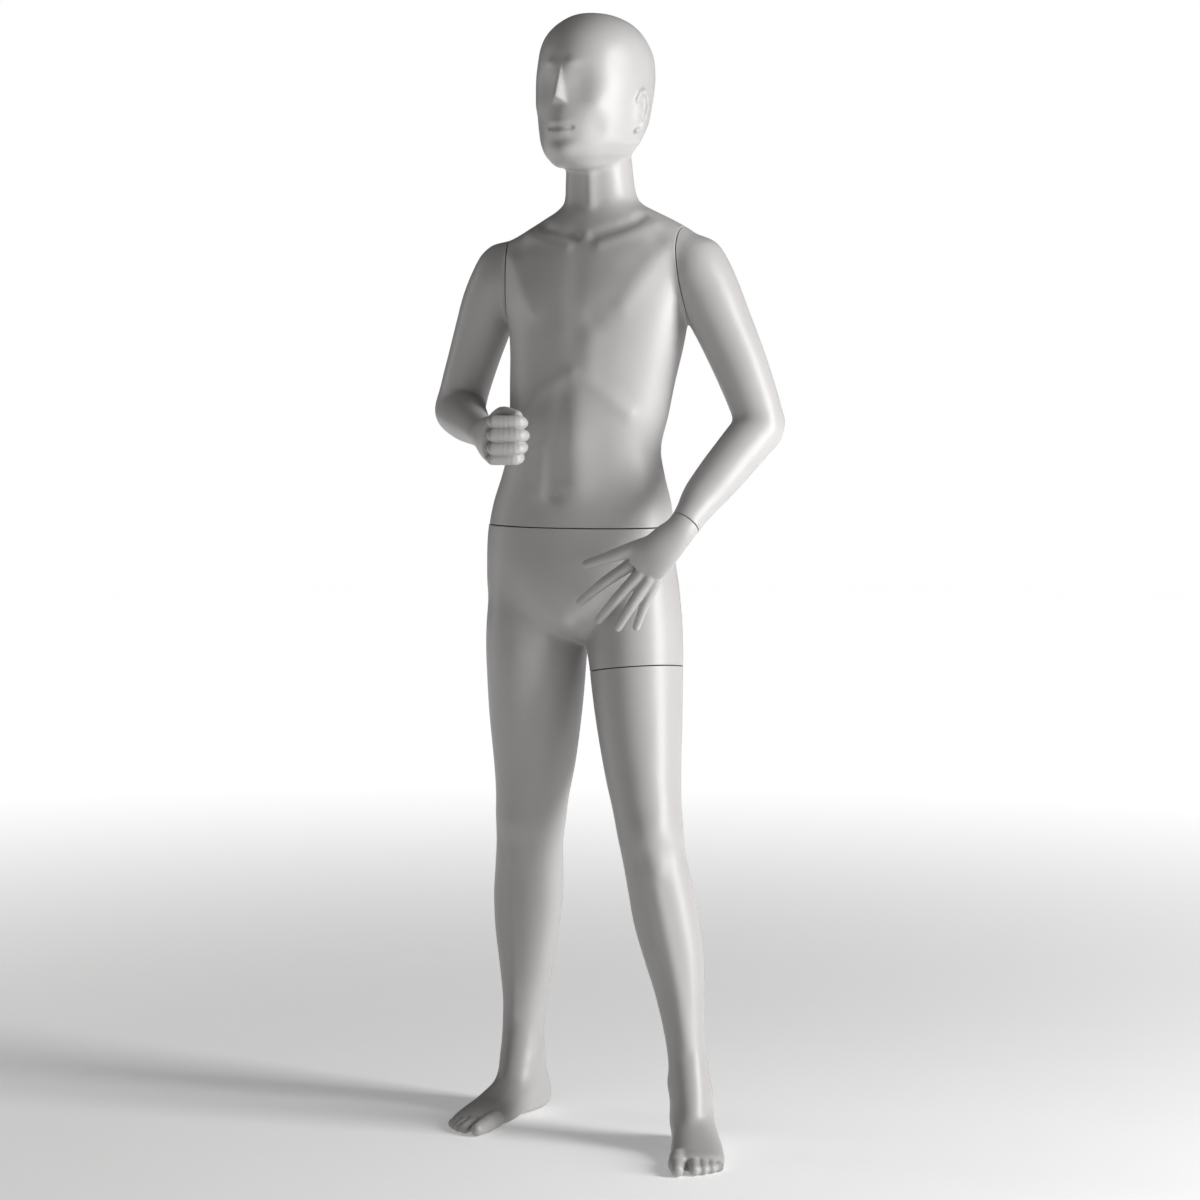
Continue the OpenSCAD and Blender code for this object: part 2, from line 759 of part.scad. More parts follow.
module waist_ring() { color(brass) on_seam(waist) keeper(trunk_fitting); }
module left_shoulder_ring() { color(brass) on_seam(left_shoulder) keeper(shoulder_fitting); }
module right_shoulder_ring() { color(brass) on_seam(right_shoulder) keeper(shoulder_fitting); }
module left_wrist_ring() { color(brass) on_seam(left_wrist) keeper(wrist_fitting); }
module right_wrist_ring() { color(brass) on_seam(right_wrist) keeper(wrist_fitting); }

module waist_magnet() { color(steel) on_seam(waist) magnet(trunk_fitting); }
module left_shoulder_magnet() { color(steel) on_seam(left_shoulder) magnet(shoulder_fitting); }
module right_shoulder_magnet() { color(steel) on_seam(right_shoulder) magnet(shoulder_fitting); }
module left_wrist_magnet() { color(steel) on_seam(left_wrist) magnet(wrist_fitting); }
module right_wrist_magnet() { color(steel) on_seam(right_wrist) magnet(wrist_fitting); }
module thigh_magnet() { color(steel) on_seam(left_thigh) magnet(trunk_fitting); }

module waist_peg() { color(steel) on_seam(waist) peg(trunk_fitting, plate_t); }
module left_shoulder_peg() { color(steel) on_seam(left_shoulder) peg(shoulder_fitting, plate_t); }
module right_shoulder_peg() { color(steel) on_seam(right_shoulder) peg(shoulder_fitting, plate_t); }
module left_wrist_peg() { color(steel) on_seam(left_wrist) peg(wrist_fitting, bond_t, false); }
module right_wrist_peg() { color(steel) on_seam(right_wrist) peg(wrist_fitting, bond_t, false); }
module thigh_peg() { color(steel) on_seam(left_thigh) peg(trunk_fitting, plate_t); }

module lower_body_screws() {
    color(steel) {
        on_seam(waist) socket_screws(trunk_fitting);
        on_seam(left_thigh) socket_screws(trunk_fitting);
    }
}
module upper_body_screws() {
    color(steel) {
        on_seam(waist) peg_screws(trunk_fitting);
        on_seam(left_shoulder) socket_screws(shoulder_fitting);
        on_seam(right_shoulder) socket_screws(shoulder_fitting);
    }
}
module left_arm_screws() {
    color(steel) {
        on_seam(left_shoulder) peg_screws(shoulder_fitting);
        on_seam(left_wrist) socket_screws(wrist_fitting);
    }
}
module right_arm_screws() {
    color(steel) {
        on_seam(right_shoulder) peg_screws(shoulder_fitting);
        on_seam(right_wrist) socket_screws(wrist_fitting);
    }
}
module left_leg_screws() { color(steel) on_seam(left_thigh) peg_screws(trunk_fitting); }

module foot_socket_tube() {
    outside = foot_bore_d / 2 + foot_tube_wall;
    color(steel)
        translate([size * right_leg_rows[19][0], size * right_leg_rows[19][1], 0])
            difference() {
                cylinder(r = outside, h = foot_bore_l + foot_tube_wall, $fn = 48);
                translate([0, 0, -1])
                    cylinder(d = foot_bore_d, h = foot_bore_l + 1, $fn = 48);
            }
}

upper_body_shell();
lower_body_shell();
left_leg_shell();
right_arm_shell();
left_arm_shell();
right_hand();
left_hand();
torso_base_plate();
pelvis_top_plate();
torso_left_shoulder_plate();
torso_right_shoulder_plate();
left_arm_top_plate();
right_arm_top_plate();
pelvis_thigh_plate();
left_leg_top_plate();
left_arm_wrist_plate();
right_arm_wrist_plate();
waist_socket();
left_shoulder_socket();
right_shoulder_socket();
left_wrist_socket();
right_wrist_socket();
thigh_socket();
waist_hub();
left_shoulder_hub();
right_shoulder_hub();
left_wrist_hub();
right_wrist_hub();
waist_ring();
left_shoulder_ring();
right_shoulder_ring();
left_wrist_ring();
right_wrist_ring();
waist_magnet();
left_shoulder_magnet();
right_shoulder_magnet();
left_wrist_magnet();
right_wrist_magnet();
thigh_magnet();
waist_peg();
left_shoulder_peg();
right_shoulder_peg();
left_wrist_peg();
right_wrist_peg();
thigh_peg();
lower_body_screws();
upper_body_screws();
left_arm_screws();
right_arm_screws();
left_leg_screws();
foot_socket_tube();
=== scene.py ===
"""Visual model of a full body child mannequin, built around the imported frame.

The moulded skins are pressed as distance fields from the same cross-sections as the CAD
(millimetres), meshed, cut at the six seams and given a rounded lip and an inner wall.
"""
import math

import bpy
import numpy as np
import openvdb as vdb
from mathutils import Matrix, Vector


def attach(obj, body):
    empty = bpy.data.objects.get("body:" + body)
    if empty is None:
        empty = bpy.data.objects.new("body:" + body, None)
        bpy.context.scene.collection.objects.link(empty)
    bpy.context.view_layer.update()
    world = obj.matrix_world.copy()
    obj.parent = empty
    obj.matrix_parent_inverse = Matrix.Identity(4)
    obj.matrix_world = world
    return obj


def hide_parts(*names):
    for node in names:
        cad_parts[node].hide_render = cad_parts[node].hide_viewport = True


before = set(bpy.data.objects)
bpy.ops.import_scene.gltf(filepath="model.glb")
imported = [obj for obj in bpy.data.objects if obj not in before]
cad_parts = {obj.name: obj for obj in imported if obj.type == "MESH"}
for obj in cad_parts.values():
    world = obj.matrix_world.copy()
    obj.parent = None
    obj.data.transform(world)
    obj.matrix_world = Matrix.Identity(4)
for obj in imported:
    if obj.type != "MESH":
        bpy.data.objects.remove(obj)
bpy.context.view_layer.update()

MM = 0.001
WALL = 4.0
SEAM_GAP = 1.2
REACH = 18.0  # how far from the skin the fields hold true distances, mm
FADE = 2.6  # where a swelling has died away, in its own radii
SLOPE_STEP = 0.05  # how far to each side of a place a loft's direction is taken, in rows
COARSER = 1.0

# ---- cross-sections, as in the CAD: x, y, z, half-widths to the side, front and back ----

HEAD_TURN = -10
LEFT_LEG_TURN = 20
RIGHT_LEG_TURN = -9
LEFT_HAND_WAY = (-0.88, -0.2, 0.42)
RIGHT_HAND_WAY = (0, 0, 1)
LEFT_HEEL = (128, 32, 0)
RIGHT_HEEL = (-122, 151, 0)

HEAD_ROWS = [
    [-7, 56, 1394, 4, 5, 5],
    [-7, 56, 1392, 19, 21, 22],
    [-7, 55, 1384, 40, 43, 47],
    [-7, 54, 1369, 55, 65, 70],
    [-7, 53, 1348, 64, 80, 87],
    [-7, 53, 1322, 67, 87, 93],
    [-8, 53, 1295, 66, 89, 91],
    [-8, 53, 1270, 64, 88, 81],
    [-9, 53, 1250, 61, 87, 67],
    [-9, 53, 1232, 56, 85, 51],
    [-8, 53, 1217, 46, 79, 39],
    [-7, 53, 1207, 33, 67, 28],
    [-7, 53, 1202, 18, 50, 14]]
TRUNK_ROWS = [
    [-7, 62, 1240, 36, 38, 40, 0],
    [-6, 63, 1215, 40, 41, 43, 0],
    [-6, 65, 1190, 42, 42, 45, 0.03],
    [-5, 66, 1168, 45, 43, 47, 0.065],
    [-5, 66, 1157, 54, 44, 49, 0.065],
    [-5, 65, 1146, 74, 46, 52, 0.065],
    [-5, 64, 1132, 100, 50, 56, 0.065],
    [-5, 63, 1118, 120, 55, 60, 0.065],
    [-6, 61, 1100, 130, 62, 64, 0.065],
    [-7, 60, 1078, 131, 68, 66, 0.06],
    [-7, 58, 1050, 124, 74, 70, 0.05],
    [-5, 57, 1015, 116, 78, 72, 0.04],
    [-7, 56, 980, 111, 78, 71, 0.02],
    [-12, 55, 940, 106, 76, 67, 0],
    [-16, 54, 900, 102, 74, 63, 0],
    [-21, 53, 860, 98, 73, 61, 0],
    [-23, 53, 825, 105, 73, 65, 0],
    [-25, 54, 790, 115, 76, 72, 0],
    [-27, 55, 755, 120, 79, 79, 0],
    [-28, 56, 715, 121, 81, 86, 0],
    [-27, 56, 680, 120, 78, 88, 0],
    [-26, 56, 655, 104, 70, 84, 0],
    [-26, 57, 637, 72, 56, 70, 0],
    [-25, 58, 624, 38, 34, 44, 0],
    [-25, 59, 618, 14, 14, 18, 0]]
LEFT_LEG_ROWS = [
    [40, 58, 742, 26, 28, 30],
    [42, 57, 724, 42, 46, 54],
    [44, 56, 695, 53, 60, 74],
    [46, 52, 655, 58, 66, 78],
    [48, 48, 618, 59, 67, 72],
    [51, 43, 583, 58, 66, 66],
    [58, 33, 525, 54, 61, 58],
    [67, 21, 465, 48, 54, 51],
    [76, 11, 420, 43, 49, 47],
    [83, 4, 388, 41, 46, 44],
    [89, 2, 355, 39, 42, 44],
    [97, 2, 318, 40, 39, 50],
    [104, 2, 282, 40, 37, 53],
    [114, 1, 240, 37, 34, 48],
    [123, -1, 195, 31, 31, 40],
    [130, -4, 150, 26, 29, 34],
    [135, -7, 115, 24, 28, 31],
    [139, -10, 85, 25, 33, 32],
    [141, -10, 60, 26, 41, 33],
    [141, -10, 35, 25, 46, 34],
    [141, -10, 16, 19, 28, 26]]
RIGHT_LEG_ROWS = [
    [-88, 58, 742, 26, 28, 30],
    [-89, 58, 724, 42, 46, 54],
    [-89, 58, 695, 54, 60, 74],
    [-89, 58, 655, 59, 66, 78],
    [-89, 58, 618, 61, 67, 74],
    [-89, 60, 583, 61, 67, 68],
    [-92, 66, 525, 58, 62, 60],
    [-97, 76, 465, 52, 55, 52],
    [-103, 84, 420, 46, 51, 48],
    [-107, 89, 390, 44, 50, 46],
    [-111, 93, 355, 42, 44, 45],
    [-115, 98, 318, 43, 40, 51],
    [-119, 104, 282, 44, 38, 53],
    [-123, 110, 240, 41, 35, 49],
    [-126, 116, 195, 35, 31, 42],
    [-129, 120, 150, 28, 29, 37],
    [-131, 121, 115, 26, 29, 34],
    [-131, 119, 85, 26, 33, 35],
    [-130, 117, 60, 27, 41, 36],
    [-130, 116, 35, 26, 46, 37],
    [-130, 116, 16, 20, 28, 26]]
LEFT_UPPER_ARM_ROWS = [
    [108, 65, 1122, 8, 8, 8],
    [108, 65, 1117, 22, 24, 24],
    [111, 65, 1104, 33, 36, 36],
    [121, 65, 1082, 39, 42, 42],
    [137, 65, 1050, 39, 40, 40],
    [156, 66, 1010, 36, 37, 37],
    [174, 67, 970, 34, 34, 34],
    [188, 68, 935, 32, 32, 32],
    [199, 69, 905, 30, 30, 31],
    [206, 70, 888, 24, 26, 28],
    [209, 70, 879, 10, 12, 14]]
LEFT_FOREARM_ROWS = [
    [214, 86, 908, 8, 8, 8],
    [211, 80, 901, 22, 21, 22],
    [204, 70, 890, 30, 29, 29],
    [194, 54, 873, 30, 30, 28],
    [181, 34, 851, 29, 29, 27],
    [167, 12, 827, 27.5, 26, 25],
    [154, -10, 804, 24.5, 22, 21],
    [147, -27, 786, 20.5, 19, 18],
    [142, -38, 774, 19, 17, 17],
    [136, -46, 764, 19.5, 15, 15],
    [126, -51, 753, 22, 14, 13],
    [113, -53, 739, 24, 13, 12],
    [100, -51, 725, 24, 11, 10],
    [91, -48, 715, 21, 8, 7]]
RIGHT_UPPER_ARM_ROWS = [
    [-126, 65, 1110, 8, 8, 8],
    [-127, 65, 1104, 22, 24, 24],
    [-130, 65, 1090, 32, 36, 36],
    [-138, 65, 1068, 36, 42, 42],
    [-152, 67, 1038, 36, 40, 40],
    [-165, 70, 1005, 34, 37, 37],
    [-178, 73, 970, 32, 34, 34],
    [-190, 77, 937, 31, 32, 32],
    [-198, 80, 912, 30, 30, 30],
    [-202, 81, 893, 25, 26, 27],
    [-203, 82, 882, 10, 12, 12]]
RIGHT_FOREARM_ROWS = [
    [-214, 106, 905, 8, 8, 8],
    [-211, 99, 905, 22, 22, 22],
    [-203, 85, 904, 30, 30, 29],
    [-193, 68, 901, 31, 31, 29],
    [-179, 45, 897, 30, 29, 28],
    [-161, 15, 892, 27, 26, 25],
    [-140, -19, 887, 23, 21, 21],
    [-122, -48, 883, 20, 18, 18],
    [-106, -75, 880, 19, 17, 16],
    [-99, -86, 879, 21, 16, 15],
    [-88, -103, 876, 27, 15, 14],
    [-78, -118, 874, 29, 12, 12]]
FOOT_ROWS = [
    [0, 8, 20, 8, 12, 10],
    [0, 5, 19, 17, 23, 17],
    [0, -7, 18, 23, 38, 19],
    [0, -28, 16, 26, 45, 17],
    [1, -55, 14, 28, 45, 14],
    [2, -80, 12, 30, 35, 11],
    [3, -105, 10, 32, 26, 11],
    [4, -128, 9, 32, 20, 10],
    [4, -145, 8, 32, 16, 9],
    [3, -160, 8, 29, 13, 9],
    [3, -167, 8, 25, 10, 8]]
FOOT_TOES = [
    [[[-20, -146, 12], 11], [[-22, -170, 10.5], 10.5], [[-22, -192, 8], 8]],
    [[[-2, -150, 11], 9], [[-1, -187, 7], 7]],
    [[[10, -150, 10], 8.5], [[10, -183, 6.5], 6.5]],
    [[[20, -146, 9], 8], [[20, -176, 6.2], 6.2]],
    [[[29, -140, 9], 7.5], [[28, -168, 6], 6]]]
LEFT_FINGERS = [
    [[[73, -47, 721], 8], [[37, -46, 697], 6.5], [[6, -36, 674], 5]],
    [[[87, -49, 711], 8], [[57, -47, 680], 6.5], [[30, -36, 653], 5]],
    [[[98, -47, 705], 7.5], [[74, -44, 671], 6.3], [[54, -34, 644], 5]],
    [[[106, -42, 704], 7], [[89, -38, 671], 5.6], [[76, -29, 645], 4.6]],
    [[[110, -48, 752], 10], [[82, -52, 743], 9], [[52, -53, 732], 7.5], [[17, -45, 721], 5.5]]]
RIGHT_FINGERS = [
    [[[-74, -121, 896], 8], [[-46, -113, 896], 7.6], [[-48, -93, 894], 7]],
    [[[-74, -123, 880], 8], [[-44, -115, 880], 7.8], [[-46, -93, 879], 7]],
    [[[-75, -122, 864], 7.6], [[-46, -114, 864], 7.3], [[-48, -93, 865], 7]],
    [[[-77, -118, 851], 7], [[-50, -111, 851], 6.6], [[-52, -93, 853], 6.5]],
    [[[-96, -78, 888], 10], [[-74, -95, 905], 8.5], [[-50, -107, 903], 7]]]

# A seam is a point on it, the way its loose side lies, its upright, its reach across and
# its reach along the upright.
SEAMS = {
    "waist": ((-24, 54, 763), (0, 0, 1), (0, 1, 0), 200, 200),
    "left_shoulder": ((112, 62, 1080), (1, -0.075, 0.12), (0, 0, 1), 140, 95),
    "right_shoulder": ((-125, 62, 1068), (-1, -0.244, 0), (0, 0, 1), 140, 95),
    "left_thigh": ((51, 45, 585), (0.107, -0.13, -0.985), (0, 1, 0), 62, 85),
    "left_wrist": ((142, -38, 774), (-0.38, -0.6, -0.7), (0, 0, 1), 34, 34),
    "right_wrist": ((-106, -75, 880), (0.51, -0.845, -0.13), (0, 0, 1), 34, 34),
}


def unit(v):
    """Vectors cut or stretched to length 1."""
    v = np.asarray(v, float)
    return v / np.linalg.norm(v, axis=-1, keepdims=True)


def side_of(turn):
    """The way to the side of something turned about Z, in degrees."""
    return (math.cos(math.radians(turn)), math.sin(math.radians(turn)), 0)


def turned(point, turn, origin):
    """A point of the foot's own frame, put at its heel."""
    c, s = math.cos(math.radians(turn)), math.sin(math.radians(turn))
    x, y, z = point
    return (origin[0] + c * x - s * y, origin[1] + s * x + c * y, origin[2] + z)


# ---- lofts ----


def row_at(rows, s):
    """Rows on a smooth curve through the list, s counting rows from 0."""
    rows = np.array(rows, float)
    last = len(rows) - 1
    i = np.minimum(np.floor(s).astype(int), last - 1)
    a, b, c, d = (rows[np.clip(i + k, 0, last)] for k in (-1, 0, 1, 2))
    t = (s - i)[:, None]
    return 0.5 * (
        2 * b + (c - a) * t + (2 * a - 5 * b + 4 * c - d) * t**2 + (3 * b - a - 3 * c + d) * t**3
    )


def ways_at(rows, side_way, s):
    """Rows of a loft, and the two ways across it there."""
    row = row_at(rows, s)
    if row.shape[1] > 6:
        way = np.stack([row[:, 6], 0 * s, -np.ones_like(s)], 1)
    else:
        ahead = row_at(rows, np.minimum(s + SLOPE_STEP, len(rows) - 1))
        way = (ahead - row_at(rows, np.maximum(s - SLOPE_STEP, 0)))[:, :3]
    way = unit(way)
    side = np.array(side_way, float)
    u = unit(side - (way @ side)[:, None] * way)
    return row, u, np.cross(way, u)


def loft(rows, side_way, first=0, last=None, sides=112, steps=6, power=1.0):
    """A closed triangle mesh through the rows."""
    end = len(rows) - 1 if last is None else last
    s = np.linspace(first, end, int(round((end - first) * steps)) + 1)
    row, u, v = ways_at(rows, side_way, s)
    angle = 2 * np.pi * np.arange(sides) / sides
    x = np.sign(np.cos(angle)) * np.abs(np.cos(angle)) ** power
    y = np.sign(np.sin(angle)) * np.abs(np.sin(angle)) ** power
    depth = np.where(np.sin(angle) > 0, row[:, 4:5], row[:, 5:6])
    points = (
        row[:, None, :3]
        + u[:, None, :] * (row[:, 3:4] * x)[..., None]
        + v[:, None, :] * (depth * y)[..., None]
    )
    rings = len(s)
    k = np.arange(sides)
    j = (k + 1) % sides
    base = np.arange(rings - 1)[:, None] * sides
    walls = [
        np.stack([base + k, base + k + sides, base + j + sides], -1).reshape(-1, 3),
        np.stack([base + k, base + j + sides, base + j], -1).reshape(-1, 3),
    ]
    low, high = rings * sides, rings * sides + 1
    end_ring = (rings - 1) * sides
    caps = [
        np.stack([np.full(sides, low), k, j], 1),
        np.stack([np.full(sides, high), end_ring + j, end_ring + k], 1),
    ]
    all_points = np.concatenate([points.reshape(-1, 3), row[[0, -1], :3]])
    return all_points, np.concatenate(walls + caps)


# ---- distance fields ----


def blended(a, b, blend):
    """The nearer of two distances, with a soft fillet about blend millimetres wide."""
    if blend <= 0:
        return np.minimum(a, b)
    h = np.maximum(blend - np.abs(a - b), 0) / blend
    return np.minimum(a, b) - h**3 * blend / 6


class Clay:
    """A block of distances to the skin, negative inside, in millimetres."""

    def __init__(self, low, high, voxel):
        self.h = voxel * COARSER
        self.start = np.floor(np.array(low) / self.h).astype(int)
        self.count = np.ceil(np.array(high) / self.h).astype(int) - self.start + 1
        self.d = np.full(tuple(self.count), REACH, np.float32)

    def window(self, low, high):
        """The part of the block inside a box, and the places of its voxels."""
        a = np.clip(np.floor(np.array(low) / self.h).astype(int) - self.start, 0, self.count)
        b = np.clip(np.ceil(np.array(high) / self.h).astype(int) - self.start + 1, 0, self.count)
        part = tuple(slice(i, max(i, j)) for i, j in zip(a, b))
        axes = [((np.arange(p.start, p.stop) + s) * self.h).astype(np.float32)
                for p, s in zip(part, self.start)]
        return part, np.meshgrid(*axes, indexing="ij", sparse=True)

    def press(self, mesh, blend=0.0):
        """Adds a closed mesh."""
        points, triangles = mesh
        grid = vdb.FloatGrid.createLevelSetFromPolygons(
            points.astype(np.float32),
            triangles=triangles.astype(np.uint32),
            transform=vdb.createLinearTransform(voxelSize=self.h),
            halfWidth=math.ceil(REACH / self.h),
        )
        part, _ = self.window(points.min(0) - REACH, points.max(0) + REACH)
        form = np.empty(self.d[part].shape, np.float32)
        grid.copyToArray(form, ijk=tuple(int(s + p.start) for s, p in zip(self.start, part)))
        self.d[part] = blended(self.d[part], form, blend)

    def rod(self, links, blend=0.0, own=0.0):
        """Adds a rounded chain of (point, radius)."""
        points = np.array([p for p, _ in links], float)
        radii = [r for _, r in links]
        pad = max(radii) + REACH
        part, (x, y, z) = self.window(points.min(0) - pad, points.max(0) + pad)
        form = None
        for a, b, ra, rb in zip(points, points[1:], radii, radii[1:]):
            t, gap = self.along(x, y, z, a, b)
            one = np.sqrt(gap) - (ra + (rb - ra) * t)
            form = one if form is None else blended(form, one, own)
        self.d[part] = blended(self.d[part], form, blend)

    @staticmethod
    def along(x, y, z, a, b):
        """Where each point lies along a segment, and its squared distance from it."""
        way = b - a
        t = ((x - a[0]) * way[0] + (y - a[1]) * way[1] + (z - a[2]) * way[2]) / (way @ way)
        t = np.clip(t, 0, 1)
        gap = (x - a[0] - t * way[0]) ** 2 + (y - a[1] - t * way[1]) ** 2 + (
            z - a[2] - t * way[2]) ** 2
        return t, gap

    def soften(self, point, radius, spread):
        """Smooths the skin near a point, smearing it over about the spread."""
        point = np.array(point, float)
        part, (x, y, z) = self.window(point - radius, point + radius)
        away = np.sqrt((x - point[0]) ** 2 + (y - point[1]) ** 2 + (z - point[2]) ** 2) / radius
        share = np.clip(2 - 2 * away, 0, 1).astype(np.float32)
        block = self.d[part].copy()
        rounds = int(3.5 * (spread / self.h) ** 2)  # each spreads the variance by 2/7 voxel
        for _ in range(rounds):
            edged = np.pad(block, 1, mode="edge")
            mean = (edged[:-2, 1:-1, 1:-1] + edged[2:, 1:-1, 1:-1] + edged[1:-1, :-2, 1:-1]
                    + edged[1:-1, 2:, 1:-1] + edged[1:-1, 1:-1, :-2] + edged[1:-1, 1:-1, 2:]
                    + block) / 7
            block += share * (mean - block)
        self.d[part] = block

    def ridge(self, line, width, height):
        """Raises the skin along a line, or sinks it. Widths and heights may run from end to end."""
        line = np.array(line, float)
        count = len(line)
        widths = np.interp(np.linspace(0, 1, count), np.linspace(0, 1, np.size(width)),
                           np.ravel(width))
        heights = np.interp(np.linspace(0, 1, count), np.linspace(0, 1, np.size(height)),
                            np.ravel(height))
        pad = FADE * widths.max()
        part, (x, y, z) = self.window(line.min(0) - pad, line.max(0) + pad)
        best, lift = None, None
        for k in range(count - 1):
            t, gap = self.along(x, y, z, line[k], line[k + 1])
            near = gap / (widths[k] + (widths[k + 1] - widths[k]) * t) ** 2
            high = heights[k] + (heights[k + 1] - heights[k]) * t
            if best is None:
                best, lift = near, high
            else:
                lift = np.where(near < best, high, lift)
                best = np.minimum(near, best)
        self.d[part] -= (lift * np.exp(-best)).astype(np.float32)

    def bump(self, point, radii, height, ways=np.eye(3)):
        """Raises a soft swelling, or sinks a hollow, with radii along three ways."""
        point = np.array(point, float)
        pad = FADE * max(radii)
        part, (x, y, z) = self.window(point - pad, point + pad)
        near = 0
        for way, radius in zip(np.asarray(ways, float), radii):
            near = near + (
                ((x - point[0]) * way[0] + (y - point[1]) * way[1] + (z - point[2]) * way[2])
                / radius) ** 2
        self.d[part] -= (height * np.exp(-near)).astype(np.float32)

    def wedge(self, corners, faces, own, blend):
        """Adds a form bounded by planes, each three points, with rounded edges."""
        low = np.min(corners, 0) - REACH
        high = np.max(corners, 0) + REACH
        part, (x, y, z) = self.window(low, high)
        middle = np.mean(corners, 0)
        form = None
        for p, q, r in faces:
            p, q, r = (np.array(c, float) for c in (p, q, r))
            n = unit(np.cross(q - p, r - p))
            if n @ (p - middle) < 0:
                n = -n
            one = (x - p[0]) * n[0] + (y - p[1]) * n[1] + (z - p[2]) * n[2]
            form = one if form is None else -blended(-form, -one, own)
        self.d[part] = blended(self.d[part], form, blend)

    def shave(self, low, high, point, normal, soft):
        """Cuts off what is past a plane, inside a window."""
        part, (x, y, z) = self.window(low, high)
        n = unit(normal)
        one = (x - point[0]) * n[0] + (y - point[1]) * n[1] + (z - point[2]) * n[2]
        self.d[part] = -blended(-self.d[part], -one, soft)

    def bore(self, centre, radius, depth, soft=1.0):
        """Sinks a round hole up from Z = 0."""
        low = (centre[0] - radius - REACH, centre[1] - radius - REACH, -REACH)
        high = (centre[0] + radius + REACH, centre[1] + radius + REACH, depth + REACH)
        part, (x, y, z) = self.window(low, high)
        hole = np.hypot(x - centre[0], y - centre[1]) - radius
        hole = np.maximum(hole, z - depth)
        self.d[part] = -blended(-self.d[part], hole, soft)

    def at(self, points):
        """Distances at any points, in straight lines between voxels."""
        q = np.clip(points / self.h - self.start, 0, self.count - 1.001)
        i = q.astype(int)
        f = q - i
        total = 0
        for corner in range(8):
            bits = np.array([corner & 1, corner >> 1 & 1, corner >> 2])
            share = np.prod(np.where(bits, f, 1 - f), 1)
            j = i + bits
            total = total + share * self.d[j[:, 0], j[:, 1], j[:, 2]]
        return total

    def normal(self, points, span=1.0):
        """The ways out of the skin at points, taken over some voxels."""
        e = self.h * span
        slope = [self.at(points + e * w) - self.at(points - e * w) for w in np.eye(3)]
        return unit(np.stack(slope, 1) + 1e-9)

    def skin(self, level=0.0, step=1):
        """A quad mesh of the surface at one level, its faces looking out."""
        block = np.ascontiguousarray(self.d[::step, ::step, ::step])
        grid = vdb.FloatGrid(REACH)
        grid.copyFromArray(block)
        grid.transform = vdb.createLinearTransform(voxelSize=self.h * step)
        points, quads = grid.convertToQuads(isovalue=level)
        points = points.astype(float) + self.start * self.h
        quads = quads.astype(int)
        a, b, c = (points[quads[:, k]] for k in (0, 1, 2))
        out = np.einsum("ij,ij->i", np.cross(b - a, c - a), self.normal(a))
        return points, quads if np.median(out) > 0 else quads[:, ::-1]


# ---- cutting and lips ----


def seam_ways(seam):
    """A seam's own axes, the last across it."""
    z = unit(seam[1])
    x = unit(np.cross(seam[2], z))
    return np.array([x, np.cross(z, x), z])


def clip(points, triangles, depth, within):
    """Cuts a mesh where depth is 0 and keeps what is over it. Returns the cut's loops too."""
    up = depth[triangles] > 0
    count = up.sum(1)
    keep = triangles[~within | (count == 3)]
    cut = within & (count > 0) & (count < 3)
    t, u, single = triangles[cut], up[cut], count[cut] == 1
    lone = np.where(single, u.argmax(1), (~u).argmax(1))
    rows = np.arange(len(t))
    a, b, c = t[rows, lone], t[rows, (lone + 1) % 3], t[rows, (lone + 2) % 3]
    edges = np.sort(np.stack([np.stack([a, b], 1), np.stack([a, c], 1)], 1).reshape(-1, 2), 1)
    unique, inverse = np.unique(edges, axis=0, return_inverse=True)
    inverse = inverse.reshape(-1, 2)
    d0, d1 = depth[unique[:, 0]], depth[unique[:, 1]]
    share = np.clip(d0 / (d0 - d1), 0.02, 0.98)[:, None]  # off the corners: no empty face
    fresh = points[unique[:, 0]] * (1 - share) + points[unique[:, 1]] * share
    p, q = len(points) + inverse[:, 0], len(points) + inverse[:, 1]
    one = np.stack([a, p, q], 1)[single]
    two = np.concatenate([np.stack([p, b, c], 1)[~single], np.stack([p, c, q], 1)[~single]])
    follows = dict(zip(np.where(single, p, q).tolist(), np.where(single, q, p).tolist()))
    loops = []
    while follows:
        first, here = follows.popitem()
        loop = [first]
        while here != first:
            loop.append(here)
            here = follows.pop(here)
        loops.append(loop)
    loops.sort(key=len, reverse=True)
    return np.concatenate([points, fresh]), np.concatenate([keep, one, two]), loops


def tidy(points, triangles, loops=()):
    """Drops points that no face uses."""
    used = np.unique(triangles)
    new = np.full(len(points), -1)
    new[used] = np.arange(len(used))
    return points[used], new[triangles], [new[np.array(l)] for l in loops]


def largest(points, faces):
    """Keeps the largest connected part of a mesh."""
    label = np.arange(len(points))
    pairs = np.concatenate([faces[:, [0, 1]], faces[:, [1, 2]]])
    while True:
        low = np.minimum(label[pairs[:, 0]], label[pairs[:, 1]])
        new = label.copy()
        np.minimum.at(new, pairs[:, 0], low)
        np.minimum.at(new, pairs[:, 1], low)
        new = new[new]
        if (new == label).all():
            break
        label = new
    roots, sizes = np.unique(label[faces[:, 0]], return_counts=True)
    keep = faces[label[faces[:, 0]] == roots[sizes.argmax()]]
    points, keep, _ = tidy(points, keep)
    return points, keep


